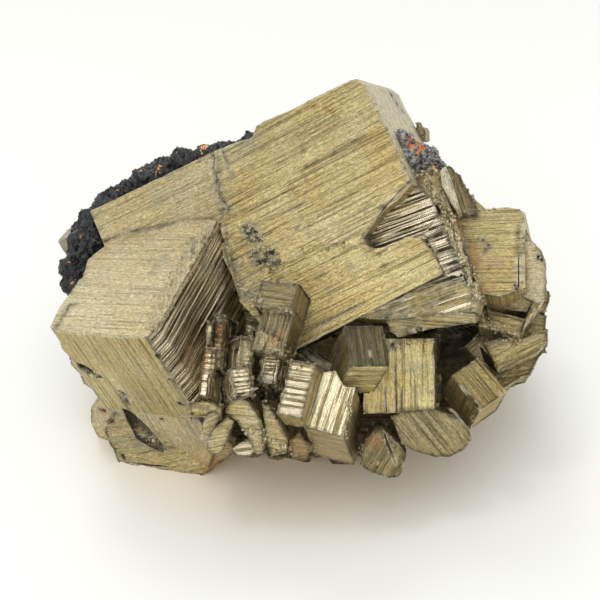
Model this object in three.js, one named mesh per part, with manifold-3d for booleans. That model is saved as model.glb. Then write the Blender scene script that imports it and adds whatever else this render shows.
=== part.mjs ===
// Pyrite cluster: striated cubes grown through one another, with a crust of dark host rock.
// Millimetres, +Z up. The origin is on the resting surface, under the middle of the specimen.
import * as THREE from 'three';
import { ConvexGeometry } from 'three/addons/geometries/ConvexGeometry.js';
import { mergeVertices } from 'three/addons/utils/BufferGeometryUtils.js';
import Module from 'manifold-3d';

// The view in which the crystals were measured: the specimen's front, seen from above
const VIEW_ELEVATION = 40;        // degrees above the horizon
const VIEW_DISTANCE = 340;        // mm from the eye to the middle of the specimen
const VIEW_CENTRE = 300;          // the view is 600 units wide and high
const VIEW_UNIT = 0.15;           // mm for one unit of the view, at middle depth

// Sizes that drive the specimen, mm
const REST_DROP = 28.5;           // from the view's centre line down to the broken base
const MIDDLE = [0.35, 9.8];       // the specimen's middle, right of and behind that line's foot
const CONTACT_GAP = 0.3;          // clearance between the pyrite and the host rock
const LUMP_ROUGHNESS = 0.26;      // how far a rock lump's skin wanders, as a share of its radius
const LUMP_DETAIL = 2;            // subdivisions of a rock lump
const PIT_ROUGHNESS = 0.3;        // the same for the growth pits in the great cube's face
const PIT_DETAIL = 1;

// One crystal: the front face's corner in the view, how far it stands toward the eye (mm), the
// angle of the face's first edge, how far both edges lean away from the eye (degrees), and the
// three edge lengths (mm): along, down the face, and into the crystal. A broken crystal has the
// outline of its face as seen, in place of the first two lengths.
const GREAT_CUBE = { corner: [363, 79], toward: 4, along: 207, lean: [14.2, -5.5], depth: 23,
  outline: [[357, 77], [350, 78], [320, 93], [290, 108], [262, 120], [255, 125], [250, 136], [228, 143],
    [214, 150], [224, 205], [252, 265], [297, 351], [304, 348], [447, 273], [411, 180], [400, 150],
    [385, 121], [372, 97], [366, 84]] };
const RECESS = [[411, 182], [400, 196], [385, 208], [373, 222], [362, 238], [365, 246], [372, 250],
  [385, 249], [398, 244], [406, 238], [420, 240], [432, 256], [444, 277], [475, 290], [450, 180]];

const FRONT_CRYSTALS = {
  upper_spur: { corner: [262, 222], toward: -1.4, along: 207, lean: [14.2, -5.5], size: [8, 12.5, 10] },
  long_bar: { corner: [222, 147], toward: -2.0, along: 207, lean: [19, -4], size: [22, 10.5, 12] },
  left_cube: { corner: [147, 336], toward: 11, along: 178, lean: [34.5, 37.6], size: [18.3, 18, 24] },
  back_left_cube: { corner: [57, 241], toward: -14, along: 301, lean: [10, -11], size: [8, 8, 8] },
  small_block: { corner: [301, 282], toward: 6.5, along: 173, lean: [22.7, -22], size: [6.4, 5, 6] },
  small_block_foot: { corner: [297, 309], toward: 7, along: 173, lean: [22.7, -22], size: [5.6, 7.6, 5] },
  ridge_crystal: { corner: [425, 183], toward: 1.2, along: 200, lean: [16.9, -19.1], depth: 14,
    outline: [[425, 183], [340, 214], [345, 315], [385, 319], [474, 311], [466, 280], [448, 232]] },
  pale_bar_front: { corner: [440, 160], toward: -1, along: 214, lean: [-5, -15], size: [3, 9, 10] },
  pale_bar_back: { corner: [454, 163], toward: -5, along: 213, lean: [-2, -10], size: [3.2, 8, 9] },
  right_cube: { corner: [526, 210], toward: -1.5, along: 181, lean: [12.9, -28.1], size: [13, 13.6, 17] },
  right_shelf: { corner: [549, 266], toward: -5, along: 175, lean: [-3, -15], depth: 10,
    outline: [[518, 222], [528, 223], [534, 240], [545, 253], [549, 266], [550, 292], [546, 304],
      [518, 304]] },
  right_wall: { corner: [551, 300], toward: -5, along: 178, lean: [-3, 5], depth: 9,
    outline: [[535, 288], [551, 290], [553, 303], [549, 330], [549, 345], [538, 350], [520, 340],
      [525, 296]] },
  under_block: { corner: [527, 317], toward: 0.5, along: 166, lean: [18, -28], size: [6.8, 3.6, 8] },
  upright_chip: { corner: [540, 303], toward: -2, along: 183, lean: [10, -10], size: [2, 5, 6] },
  lower_right_bar: { corner: [549, 327], toward: 1.5, along: 205, lean: [-2, -12], depth: 7,
    outline: [[487, 345], [520, 333], [549, 327], [550, 343], [522, 360], [497, 372]] },
  lower_right_foot: { corner: [497, 386], toward: 0, along: 42, lean: [2, 4], size: [9.5, 8, 8] },
  ridged_cube: { corner: [449, 375], toward: 5.5, along: 309, lean: [-15, 20], size: [6.4, 5.6, 8] },
  rounded_block: { corner: [474, 440], toward: 4, along: 130, lean: [-8, 0], depth: 11,
    outline: [[389, 417], [405, 410], [435, 408], [455, 416], [470, 431], [474, 440], [465, 452],
      [450, 459], [435, 459], [413, 453], [400, 445], [395, 430]] },
  centre_right_cube: { corner: [435, 337], toward: 4.5, along: 181, lean: [8, -4], size: [11, 11.2, 9] },
  centre_box: { corner: [392, 367], toward: 7, along: 98, lean: [27.5, -15.8], size: [7, 6.4, 9.5] },
  shaded_cube: { corner: [335, 365], toward: 1.5, along: 145, lean: [20, 10], size: [6, 6, 6] },
  rippled_bar: { corner: [317, 362], toward: 11, along: 172, lean: [20, -20], size: [4.2, 8.8, 5] },
  mirror_cube: { corner: [345, 438], toward: 12, along: 72, lean: [19.7, 14], depth: 13,
    outline: [[345, 438], [357, 386], [345, 385], [336, 368], [322, 371], [303, 427]] },
  notched_block: { corner: [360, 445], toward: 6, along: 60, lean: [-8, -4], depth: 9,
    outline: [[380, 428], [400, 445], [408, 455], [400, 479], [388, 480], [359, 468], [360, 445]] },
  rubble_plate: { corner: [228, 312], toward: 3.5, along: 178, lean: [10, -8], size: [2.5, 9, 10] },
  rubble_sliver: { corner: [212, 318], toward: 5.2, along: 178, lean: [10, -8], size: [0.9, 4.4, 10] },
  rubble_column: { corner: [216, 345], toward: 6.2, along: 176, lean: [15, -10], size: [2.4, 8.2, 10] },
  rubble_rim: { corner: [225, 399], toward: 7.5, along: 177, lean: [5, -50], size: [5.6, 2.2, 3] },
  rubble_head: { corner: [257, 324], toward: 6.5, along: 165, lean: [15, -15], size: [1.9, 2.1, 10] },
  rubble_body: { corner: [260, 336], toward: 7, along: 170, lean: [-15, -10], size: [3.1, 5.6, 10] },
  rubble_gold: { corner: [283, 342], toward: 7.8, along: 176, lean: [18, -18], size: [3.3, 6.6, 10] },
  rubble_low: { corner: [253, 362], toward: 8.3, along: 187, lean: [-12, -10], size: [3.8, 5.4, 10] },
  rubble_tiny: { corner: [266, 357], toward: 7.5, along: 165, lean: [25, -25], size: [1.3, 1.3, 10] },
  bottom_flake: { corner: [222, 415], toward: 7, along: 200, lean: [5, 10], depth: 7,
    outline: [[199, 440], [210, 411], [222, 415], [210, 435]] },
  bottom_wedge: { corner: [235, 423], toward: 8.5, along: 190, lean: [8, 10], depth: 8,
    outline: [[213, 430], [228, 417], [235, 423], [227, 452], [220, 457], [202, 447]] },
  bottom_hump: { corner: [262, 425], toward: 9, along: 175, lean: [5, 12], depth: 8,
    outline: [[226, 418], [232, 402], [245, 395], [262, 425], [268, 440], [262, 455], [240, 440]] },
  bottom_chip: { corner: [250, 437], toward: 7.5, along: 185, lean: [5, 10], depth: 7,
    outline: [[232, 443], [250, 437], [258, 452], [250, 458], [236, 456]] },
  bottom_tooth: { corner: [275, 415], toward: 9, along: 170, lean: [5, 8], depth: 8,
    outline: [[262, 405], [275, 415], [290, 440], [288, 455], [270, 458], [262, 440]] },
  bottom_lump: { corner: [300, 444], toward: 6, along: 175, lean: [5, 10], depth: 7,
    outline: [[286, 440], [300, 430], [314, 450], [308, 461], [290, 462]] },
  cavity_wall: { corner: [300, 400], toward: 0, along: 180, lean: [2, -5], depth: 9,
    outline: [[205, 330], [300, 345], [345, 330], [440, 330], [445, 400], [400, 443], [350, 450],
      [240, 446], [203, 420]] },
  gap_wall: { corner: [500, 330], toward: -5, along: 190, lean: [5, -5], depth: 9,
    outline: [[500, 325], [420, 325], [425, 380], [432, 415], [478, 405], [500, 385]] },
  lower_left_mass: { corner: [160, 395], toward: -1, along: 190, lean: [18, 22], depth: 10,
    outline: [[92, 405], [99, 400], [150, 395], [215, 415], [240, 455], [215, 476], [200, 484],
      [175, 487], [133, 483], [116, 468], [88, 413]] },
};

// Cubes on the far side, by centre (mm), turn about X, Y and Z (degrees) and edge lengths
const BACK_CRYSTALS = {
  back_cube: { centre: [9, 28, 24], turn: [18, -12, 24], size: [17, 15, 16] },
  back_right_cube: { centre: [23, 22, 15], turn: [-10, 22, -18], size: [14, 13, 14] },
  back_low_cube: { centre: [-2, 27, 12], turn: [25, 8, 40], size: [15, 14, 13] },
  back_small_cube: { centre: [23, 19, 27], turn: [30, 15, 10], size: [8, 8, 9] },
};

// Corners of the mass that the crystals stand on, broken flat below (mm above the rest)
const CORE_CORNERS = [
  [-17, -1, 0], [-8, -5, 0], [8, -6, 0], [18, 0, 0], [20, 12, 0], [13, 24, 0], [-4, 27, 0], [-16, 18, 0],
  [-22, 4, 10], [-10, -5, 11], [8, -7, 13], [22, -2, 16], [29, 8, 18], [24, 25, 12], [4, 34, 14],
  [-17, 28, 12], [-24, 16, 20], [-14, 8, 28], [6, 2, 30], [22, 6, 34], [14, 22, 38], [-8, 20, 38],
];

// Growth pits in the great cube's face: centre in the view, how far toward the eye, and radius
const PITS = [[252, 231, -0.9, 1.4], [262, 258, -0.3, 1.9], [272, 262, 0.2, 1.3]];

// Lumps of host rock: centre in the view, how far toward the eye, and radius (mm)
const CRUST_LUMPS = [[90, 268, -14, 4.8], [88, 246, -15, 4.2], [105, 226, -16, 4.9], [134, 204, -15.5, 4.7],
  [165, 186, -13, 4.4], [199, 168, -12, 3.8], [224, 160, -11, 2.8]];
// The same on the far side, by centre and radius (mm)
const BACK_LUMPS = [[-20, 26, 26, 8], [-10, 31, 21, 8.5], [-24, 20, 18, 8], [-14, 27, 29, 5.5],
  [-25, 19, 27, 5.5], [-6, 32, 29, 6], [-15, 30, 12, 7], [-27, 21, 27, 5], [-3, 35, 21, 5.5],
  [-22, 29, 19, 6], [-12, 34, 27, 5], [-8, 35, 15, 5.5], [-29, 13, 22, 4.5]];
const POCKET_LUMPS = [[404, 148, 0, 2.9], [418, 156, -3, 3.0], [433, 166, -5, 2.4]];

const PYRITE = { color: 0xa89a6c, metalness: 0.85, roughness: 0.42 };
const HOST_ROCK = { color: 0x23252b, metalness: 0.1, roughness: 0.6 };
const POCKET_ROCK = { color: 0x55504f, metalness: 0.2, roughness: 0.5 };

const wasm = await Module();
wasm.setup();

const radians = THREE.MathUtils.degToRad;

// Turns places seen in the view, x right, y up and z toward the eye, into the specimen's frame
const tilt = radians(VIEW_ELEVATION);
const VIEW_TO_SPECIMEN = new THREE.Matrix4().makeBasis(
  new THREE.Vector3(1, 0, 0),
  new THREE.Vector3(0, Math.sin(tilt), Math.cos(tilt)),
  new THREE.Vector3(0, -Math.cos(tilt), Math.sin(tilt)),
).setPosition(0, 0, REST_DROP);

function placeSeen([across, down], toward) {
  const scale = VIEW_UNIT * (1 - toward / VIEW_DISTANCE);
  return new THREE.Vector3((across - VIEW_CENTRE) * scale, (VIEW_CENTRE - down) * scale, toward);
}

// The direction of an edge at an angle in the view that leans away from the eye
function edgeDirection(angle, lean) {
  const flat = Math.cos(lean);
  return new THREE.Vector3(flat * Math.cos(angle), flat * Math.sin(angle), -Math.sin(lean));
}

// A crystal's frame in the view: its origin at the face's corner, x and y along the face's edges
// and z out of the face. The second edge stands square on the first.
function crystalFrame({ corner, toward, along, lean }) {
  const [first, second] = lean.map(radians);
  const between = Math.acos(-Math.tan(first) * Math.tan(second));
  const xEdge = edgeDirection(radians(along), first);
  const yEdge = edgeDirection(radians(along) + between, second);
  const outward = new THREE.Vector3().crossVectors(xEdge, yEdge);
  return new THREE.Matrix4().makeBasis(xEdge, yEdge, outward).setPosition(placeSeen(corner, toward));
}

// Where a point of the view lies on the plane of a crystal's face, in the crystal's own frame
function onFace(frame, point) {
  const intoFrame = frame.clone().invert();
  const near = placeSeen(point, 0).applyMatrix4(intoFrame);
  const far = placeSeen(point, -VIEW_DISTANCE).applyMatrix4(intoFrame);
  const share = near.z / (near.z - far.z);
  return near.lerp(far, share);
}

function toSolid(geometry) {
  geometry.deleteAttribute('normal');
  geometry.deleteAttribute('uv');
  const merged = mergeVertices(geometry, 1e-5);
  return new wasm.Manifold(new wasm.Mesh({
    numProp: 3,
    vertProperties: new Float32Array(merged.attributes.position.array),
    triVerts: new Uint32Array(merged.index.array),
  }));
}

// A prism below the outline of a face, down to a depth; grown adds to every side of it
function facePrism(frame, outline, depth, grown = 0) {
  const corners = outline.map((point) => onFace(frame, point)).map(({ x, y }) => new THREE.Vector2(x, y));
  if (THREE.ShapeUtils.isClockWise(corners)) corners.reverse();
  const middle = corners.reduce((sum, p) => sum.add(p), new THREE.Vector2()).divideScalar(corners.length);
  const spread = corners.map((p) => p.clone().add(p.clone().sub(middle).setLength(grown)));
  const geometry = new THREE.ExtrudeGeometry(new THREE.Shape(spread), {
    depth: depth + 2 * grown,
    bevelEnabled: false,
  });
  geometry.translate(0, 0, -depth - grown);
  return geometry;
}

function crystalSolid(crystal, grown = 0) {
  const frame = crystalFrame(crystal);
  let geometry;
  if (crystal.outline) {
    geometry = facePrism(frame, crystal.outline, crystal.depth, grown * 1.5);
  } else {
    const [along, down, into] = crystal.size;
    geometry = new THREE.BoxGeometry(along + 2 * grown, down + 2 * grown, into + 2 * grown);
    geometry.translate(along / 2, down / 2, -into / 2);
  }
  geometry.applyMatrix4(frame).applyMatrix4(VIEW_TO_SPECIMEN);
  return toSolid(geometry);
}

function backSolid({ centre, turn, size }, grown = 0) {
  const geometry = new THREE.BoxGeometry(...size.map((edge) => edge + 2 * grown));
  const euler = new THREE.Euler(...turn.map(radians));
  geometry.applyMatrix4(new THREE.Matrix4().makeRotationFromEuler(euler).setPosition(...centre));
  return toSolid(geometry);
}

// A rounded lump whose skin wanders in and out
function lumpSolid(centre, radius, roughness = LUMP_ROUGHNESS, detail = LUMP_DETAIL) {
  const geometry = new THREE.IcosahedronGeometry(radius, detail);
  const points = geometry.attributes.position;
  const point = new THREE.Vector3();
  for (let i = 0; i < points.count; i += 1) {
    point.fromBufferAttribute(points, i);
    const { x, y, z } = point.clone().multiplyScalar(4.2 / radius);
    const broad = Math.sin(x * 1.7 + centre.y) * Math.sin(y * 1.9 + centre.x);
    const wander = broad + 0.6 * Math.sin(z * 3.1 + x * 2.3);
    point.multiplyScalar(1 + roughness * wander * 0.6);
    points.setXYZ(i, point.x, point.y, point.z);
  }
  geometry.translate(...centre);
  return toSolid(geometry);
}

function seenLump([across, down, toward, radius], ...roughness) {
  return lumpSolid(placeSeen([across, down], toward).applyMatrix4(VIEW_TO_SPECIMEN), radius, ...roughness);
}

const joined = (solids) => wasm.Manifold.union(solids);

// Everything above the surface that the specimen rests on
function aboveRest() {
  const geometry = new THREE.BoxGeometry(200, 200, 100);
  geometry.translate(0, 0, 50);
  return toSolid(geometry);
}

// The great cube, with the growth recess at its right edge cut out of it
function greatCube(grown = 0) {
  const frame = crystalFrame(GREAT_CUBE);
  const recess = facePrism(frame, RECESS, 40).translate(0, 0, 5);
  recess.applyMatrix4(frame).applyMatrix4(VIEW_TO_SPECIMEN);
  return crystalSolid(GREAT_CUBE, grown).subtract(toSolid(recess));
}

function pyriteSolid(grown = 0) {
  const solids = [greatCube(grown)];
  for (const crystal of Object.values(FRONT_CRYSTALS)) solids.push(crystalSolid(crystal, grown));
  for (const crystal of Object.values(BACK_CRYSTALS)) solids.push(backSolid(crystal, grown));
  const corners = CORE_CORNERS.map((corner) => new THREE.Vector3(...corner));
  solids.push(toSolid(new ConvexGeometry(corners)));
  return joined(solids);
}

// Of the bodies that a cut leaves, only the largest is part of the specimen
function largestBody(solid) {
  return solid.decompose().sort((a, b) => b.volume() - a.volume())[0];
}

function toGeometry(solid) {
  const { vertProperties, triVerts } = solid.getMesh();
  const geometry = new THREE.BufferGeometry();
  geometry.setAttribute('position', new THREE.BufferAttribute(vertProperties, 3));
  geometry.setIndex(new THREE.BufferAttribute(triVerts, 1));
  geometry.computeVertexNormals();
  return geometry;
}

const rest = aboveRest();
const pits = joined(PITS.map((pit) => seenLump(pit, PIT_ROUGHNESS, PIT_DETAIL)));
const pyrite = largestBody(pyriteSolid().subtract(pits).intersect(rest));
const clearance = pyriteSolid(CONTACT_GAP);
const crustLumps = CRUST_LUMPS.map((lump) => seenLump(lump));
for (const [x, y, z, radius] of BACK_LUMPS) crustLumps.push(lumpSolid(new THREE.Vector3(x, y, z), radius));
const crust = largestBody(joined(crustLumps).subtract(clearance).intersect(rest));
const pocket = largestBody(joined(POCKET_LUMPS.map((lump) => seenLump(lump))).subtract(clearance));

const specimen = new THREE.Group();
for (const [name, solid, finish] of [
  ['pyrite_cluster', pyrite, PYRITE],
  ['dark_matrix', crust, HOST_ROCK],
  ['pocket_matrix', pocket, POCKET_ROCK],
]) {
  const mesh = new THREE.Mesh(toGeometry(solid), new THREE.MeshStandardMaterial(finish));
  mesh.name = name;
  mesh.position.set(-MIDDLE[0], -MIDDLE[1], 0);
  specimen.add(mesh);
}

export default specimen;
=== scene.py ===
# %% [markdown]
# # A pyrite cluster
# Pyrite, or fool's gold, grows in cubes. The faces are never plain: while a cube grows, thin flat
# strips are laid down side by side, and they leave straight, fine steps that catch the light. This
# lesson builds a hand-sized cluster of such cubes, the crust of dark rock that it grew from, and
# a finish that is half metal and half dust. The measured model is loaded first, because every
# new piece has to lie in the same place and inside the same box.

# %% The measured model
import math

import bpy
import numpy as np
from mathutils import Euler, Matrix, Vector
from mathutils.bvhtree import BVHTree
from mathutils.kdtree import KDTree


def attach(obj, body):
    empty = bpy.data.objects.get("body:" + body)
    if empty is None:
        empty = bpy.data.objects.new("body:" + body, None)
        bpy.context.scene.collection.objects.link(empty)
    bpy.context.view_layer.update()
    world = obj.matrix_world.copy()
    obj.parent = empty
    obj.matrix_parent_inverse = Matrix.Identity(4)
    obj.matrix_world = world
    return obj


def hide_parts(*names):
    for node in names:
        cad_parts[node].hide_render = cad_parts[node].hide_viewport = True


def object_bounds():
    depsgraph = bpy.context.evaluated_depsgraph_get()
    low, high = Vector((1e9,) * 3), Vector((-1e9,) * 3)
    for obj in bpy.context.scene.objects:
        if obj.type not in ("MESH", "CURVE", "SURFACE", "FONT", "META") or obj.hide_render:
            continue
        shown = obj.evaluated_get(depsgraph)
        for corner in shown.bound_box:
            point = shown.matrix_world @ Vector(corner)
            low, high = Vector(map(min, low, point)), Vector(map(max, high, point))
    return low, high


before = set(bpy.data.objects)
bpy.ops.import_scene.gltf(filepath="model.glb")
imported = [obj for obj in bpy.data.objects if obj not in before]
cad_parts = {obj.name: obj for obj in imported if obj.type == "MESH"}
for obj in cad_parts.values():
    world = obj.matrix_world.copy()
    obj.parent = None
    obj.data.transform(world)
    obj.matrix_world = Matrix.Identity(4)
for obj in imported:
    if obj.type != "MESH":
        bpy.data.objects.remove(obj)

cad_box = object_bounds()
print("measured box, mm:", [[round(v * 1000, 1) for v in corner] for corner in cad_box])

# %% [markdown]
# ## The view
# The crystals were measured in one view: the front of the specimen, seen from above. A place is
# given by where it shows in the view, which is 600 units wide and high, and by how far it stands
# toward the eye. Everything is modelled in millimetres and made small at the end, because
# Blender's modifiers and the reader's eye both work better with numbers near one.

# %% Turning the view into the specimen's frame
VIEW_ELEVATION = math.radians(40)
VIEW_DISTANCE = 340.0     # mm from the eye to the middle of the specimen
VIEW_CENTRE = 300.0
VIEW_UNIT = 0.15          # mm for one unit of the view, at middle depth
REST_DROP = 28.5          # mm from the view's centre line down to the broken base
MIDDLE = (0.35, 9.8)      # the specimen's middle, right of and behind that line's foot
MM = 0.001

sine, cosine = math.sin(VIEW_ELEVATION), math.cos(VIEW_ELEVATION)
VIEW_TO_SPECIMEN = Matrix((
    (1, 0, 0, -MIDDLE[0]),
    (0, sine, -cosine, -MIDDLE[1]),
    (0, cosine, sine, REST_DROP),
    (0, 0, 0, 1),
))


def place_seen(point, toward):
    """The place, in the view's own axes, of a point seen at a depth."""
    scale = VIEW_UNIT * (1 - toward / VIEW_DISTANCE)
    return Vector(((point[0] - VIEW_CENTRE) * scale, (VIEW_CENTRE - point[1]) * scale, toward))


EYE = VIEW_TO_SPECIMEN @ Vector((0, 0, VIEW_DISTANCE))
print("the eye is at, mm:", [round(v, 1) for v in EYE])

# %% [markdown]
# ## The camera
# The camera stands where the eye stood, so that the render can be laid beside the photograph.
# A long lens keeps the perspective as flat as it is there.

# %% The camera
LENS = 136.0
bpy.ops.object.camera_add()
camera = bpy.context.object
camera.name = "view_camera"
camera.data.lens = LENS
camera.data.sensor_width = 36.0
camera.data.clip_start = 0.01
camera.location = EYE * MM
line_of_sight = (VIEW_TO_SPECIMEN @ Vector((0, 0, 0)) - EYE)
camera.rotation_euler = line_of_sight.to_track_quat("-Z", "Y").to_euler()
bpy.context.scene.camera = camera
print("camera at, mm:", [round(v / MM, 1) for v in camera.location])

# %% [markdown]
# ## Growth strips
# A face of a pyrite cube is a staircase of long strips. Each strip is a little higher or lower
# than its neighbours, starts somewhere, and dies out somewhere else. The height of a face is
# made by laying many such strips over each other. It only ever cuts into the face, so that
# a crystal stays inside its measured size.

# %% Heights of the growth strips
STRIPS_PER_SPACING = 2.6  # strips laid over each other in one spacing
NARROW_SHARE = 0.55       # the share of strips that are narrow grooves
FLANK = 0.035             # mm over which a strip's edge rises
FADE = 0.7                # mm over which a strip dies out at its ends


def wander(place, rng, reach):
    """A smooth line between about -1 and 1 that drifts over the given reach."""
    line = 0.0
    for wave in (1.0, 0.47, 0.21):
        cycle = 2 * math.pi / (reach * wave)
        line = line + wave ** 0.5 * np.sin(place * cycle + rng.uniform(0, 7))
    return line / 1.9


def ridges(across, along, rng, width, height):
    """Straight ridges with flat flanks, which mirror the room in bright and dark bands."""
    feet = [across.min() - 1.0]
    while feet[-1] < across.max() + 1.0:
        feet.append(feet[-1] + width * rng.uniform(0.25, 1.5))
    levels = [-height * rng.uniform(0, 1) * (number % 2) for number in range(len(feet))]
    return np.interp(across + 0.03 * wander(along, rng, 5.0), feet, levels)


def strip_heights(across, along, rng, look):
    """How far the growth strips lie below the face, and where their narrow grooves get dirt and
    painted shade.
    """
    spacing, depth = look["spacing"], look["depth"]
    wide, long = np.ptp(across), np.ptp(along)
    height = np.zeros_like(across)
    groove_dirt_and_shade = np.zeros_like(across)
    for _ in range(max(4, int(STRIPS_PER_SPACING * wide / spacing))):
        middle = across.min() + wide * rng.uniform(-0.02, 1.02)
        middle = middle + 0.05 * wander(along, rng, 1.3 * long)
        narrow = rng.random() < NARROW_SHARE
        half_width = rng.uniform(0.04, 0.09) if narrow else spacing * rng.uniform(0.5, 1.6)
        rise = -depth * rng.uniform(0.5, 1.8) if narrow else depth * rng.uniform(-0.9, 0.9)
        start = along.min() + long * rng.uniform(-0.9, 0.8)
        end = start + long * rng.uniform(0.3, 1.6)
        inside = 0.5 + 0.5 * np.tanh((half_width - np.abs(across - middle)) / FLANK)
        fade = np.clip(np.minimum(along - start, end - along) / FADE, 0, 1)
        height += rise * inside * fade
        if narrow:
            groove_dirt_and_shade = np.maximum(groove_dirt_and_shade, inside * fade * rng.uniform(0.3, 1.0))
    if "ridged" in look:
        height += ridges(across, along, rng, spacing, look["ridged"])
    return height - height.max(), groove_dirt_and_shade


# %% [markdown]
# ## One block of growth
# Each crystal is what three flat blocks have in common, as if three planks were pushed through
# each other. Every block carries the strips of one pair of faces. A grid is added and extruded,
# and its points are then moved to the heights of the strips. The strips need a fine grid across
# them and only a coarse one along them, which a grid primitive gives and a subdivided cube
# doesn't. The edges of the finished cube come out with the small teeth of real ones.

# %% A block with two stepped faces
FINE = 0.15               # mm between grid lines across the strips
COARSE = 0.9              # mm between grid lines along them
SPARE = 0.5               # mm that a block reaches past the crystal's other faces
DEEPEST = 0.4             # the most that strips may cut away, as a share of the thickness
OFFSETS = (0, 400)        # the growth pattern of each block starts somewhere else


def deselect_all():
    """Leaves edit mode, with nothing selected."""
    if bpy.context.object and bpy.context.object.mode != "OBJECT":
        bpy.ops.object.mode_set(mode="OBJECT")
    bpy.ops.object.select_all(action="DESELECT")


def make_active(thing):
    """Selects one object alone, for the next operator."""
    deselect_all()
    thing.select_set(True)
    bpy.context.view_layer.objects.active = thing


def read_points(mesh):
    points = np.empty(3 * len(mesh.vertices), dtype=np.float32)
    mesh.vertices.foreach_get("co", points)
    return points.reshape(-1, 3).astype(np.float64)


def write_points(mesh, points):
    mesh.vertices.foreach_set("co", np.ascontiguousarray(points, dtype=np.float32).ravel())
    mesh.update()


def corner_points(mesh):
    """The vertex number of every face corner."""
    corners = np.empty(len(mesh.loops), dtype=np.int32)
    mesh.loops.foreach_get("vertex_index", corners)
    return corners


def record_growth(mesh, growth, gloss, tone, groove_dirt_and_shade, offset):
    """Keeps what the finish needs on every face corner: strips, gloss, tone, and dirt and painted
    shade in the grooves.
    """
    while mesh.uv_layers:
        mesh.uv_layers.remove(mesh.uv_layers[0])
    mesh.uv_layers.new(name="growth")
    for name in ("gloss", "tone", "groove_dirt_and_shade"):
        mesh.attributes.new(name, "FLOAT", "CORNER")
    shifted = growth + np.array([offset, 0.37 * offset])
    mesh.uv_layers["growth"].data.foreach_set("uv", shifted.astype(np.float32).ravel())
    for name, value in (("gloss", gloss), ("tone", tone), ("groove_dirt_and_shade", groove_dirt_and_shade)):
        values = np.broadcast_to(np.asarray(value, dtype=np.float32), len(mesh.loops))
        mesh.attributes[name].data.foreach_set("value", np.ascontiguousarray(values))


def inside_outline(x, y, outline):
    """Whether each point lies inside an outline."""
    inside = np.zeros(len(x), dtype=bool)
    for (x1, y1), (x2, y2) in zip(outline, outline[1:] + outline[:1]):
        crosses = (y1 > y) != (y2 > y)
        inside ^= crosses & (x < (x2 - x1) * (y - y1) / ((y2 - y1) or 1e-9) + x1)
    return inside


def plate_drops(along, across, plates, rng):
    """How far the lower growth plates of a face lie below its highest one."""
    drop = np.zeros_like(along)
    for outline, depth in plates:
        x = along + 0.25 * wander(across, rng, 2.1) + 0.12 * wander(across, rng, 0.6)
        y = across + 0.18 * wander(along, rng, 1.7)
        drop += depth * inside_outline(x, y, outline)
    return drop


def growth_block(low, high, axes, look, rng):
    """A block from low to high. Axes says which axis lies across, along and out of its faces."""
    across_axis, along_axis, out_axis = axes
    wide = high[across_axis] - low[across_axis] + 2 * SPARE
    long = high[along_axis] - low[along_axis] + 2 * SPARE
    thick = high[out_axis] - low[out_axis]
    deselect_all()
    bpy.ops.mesh.primitive_grid_add(
        x_subdivisions=max(3, int(wide / look.get("fine", FINE))),
        y_subdivisions=max(3, int(long / look.get("coarse", COARSE))),
        size=1,
    )
    block = bpy.context.object
    bpy.ops.object.mode_set(mode="EDIT")
    bpy.ops.mesh.select_all(action="SELECT")
    bpy.ops.mesh.extrude_region_move(TRANSFORM_OT_translate={"value": (0, 0, 1)})
    bpy.ops.mesh.select_all(action="SELECT")
    bpy.ops.mesh.normals_make_consistent(inside=False)
    bpy.ops.object.mode_set(mode="OBJECT")
    mesh = block.data
    flat = read_points(mesh)
    across = low[across_axis] - SPARE + (flat[:, 0] + 0.5) * wide
    along = low[along_axis] - SPARE + (flat[:, 1] + 0.5) * long
    on_top = flat[:, 2] > 0.5
    out = np.where(on_top, float(high[out_axis]), float(low[out_axis]))
    groove_dirt_and_shade = np.zeros(len(flat))
    for side, sign in ((on_top, 1), (~on_top, -1)):
        height, groove_dirt_and_shade[side] = strip_heights(across[side], along[side], rng, look)
        if sign > 0 and "plates" in look:
            height = height - plate_drops(along[side], across[side], look["plates"], rng)
        height = np.maximum(height, -DEEPEST * thick)
        out[side] += sign * height
    points = np.zeros_like(flat)
    points[:, across_axis] = across
    points[:, along_axis] = along
    points[:, out_axis] = out
    write_points(mesh, points)
    if (across_axis, along_axis, out_axis) in ((1, 0, 2), (0, 2, 1), (2, 1, 0)):
        mesh.flip_normals()
    corners = corner_points(mesh)
    growth = np.stack([across, along], -1)[corners]
    # The tone can rise across a face, which paints light onto one side of it.
    tone = look["tone"] * (1 + look.get("painted_light_below", 0) * (across - across.min()) / wide)
    record_growth(mesh, growth, look["gloss"], tone[corners], groove_dirt_and_shade[corners], rng.uniform(*OFFSETS))
    return block


def combine(body, tool, operation):
    """Joins, cuts or overlaps two solids with a Boolean modifier, and drops the tool."""
    make_active(body)
    bpy.ops.object.modifier_add(type="BOOLEAN")
    modifier = body.modifiers[-1]
    modifier.operation = operation
    modifier.solver = "MANIFOLD"
    modifier.object = tool
    bpy.ops.object.modifier_apply(modifier=modifier.name)
    bpy.data.objects.remove(tool, do_unlink=True)
    return body


# %% [markdown]
# ## Crystals with a broken outline
# Many crystals here are broken, or grow into a neighbour, and show only part of a square face.
# For these a cylinder is the start. Its ring of points is moved to the outline of the face, and
# its long edges are subdivided, so that its walls can carry strips of their own.

# %% Outlined crystals
WALL = 0.28               # mm between points round and down a wall


def crystal_frame(corner, toward, along, lean):
    """The crystal's axes in the view: along and down its face, and out of it."""
    first, second = (math.radians(angle) for angle in lean)
    angle = math.radians(along)
    between = math.acos(-math.tan(first) * math.tan(second))
    edges = []
    for turn, slope in ((angle, first), (angle + between, second)):
        flat = math.cos(slope)
        edges.append(Vector((flat * math.cos(turn), flat * math.sin(turn), -math.sin(slope))))
    matrix = Matrix((edges[0], edges[1], edges[0].cross(edges[1]))).transposed().to_4x4()
    matrix.translation = place_seen(corner, toward)
    return matrix


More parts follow.
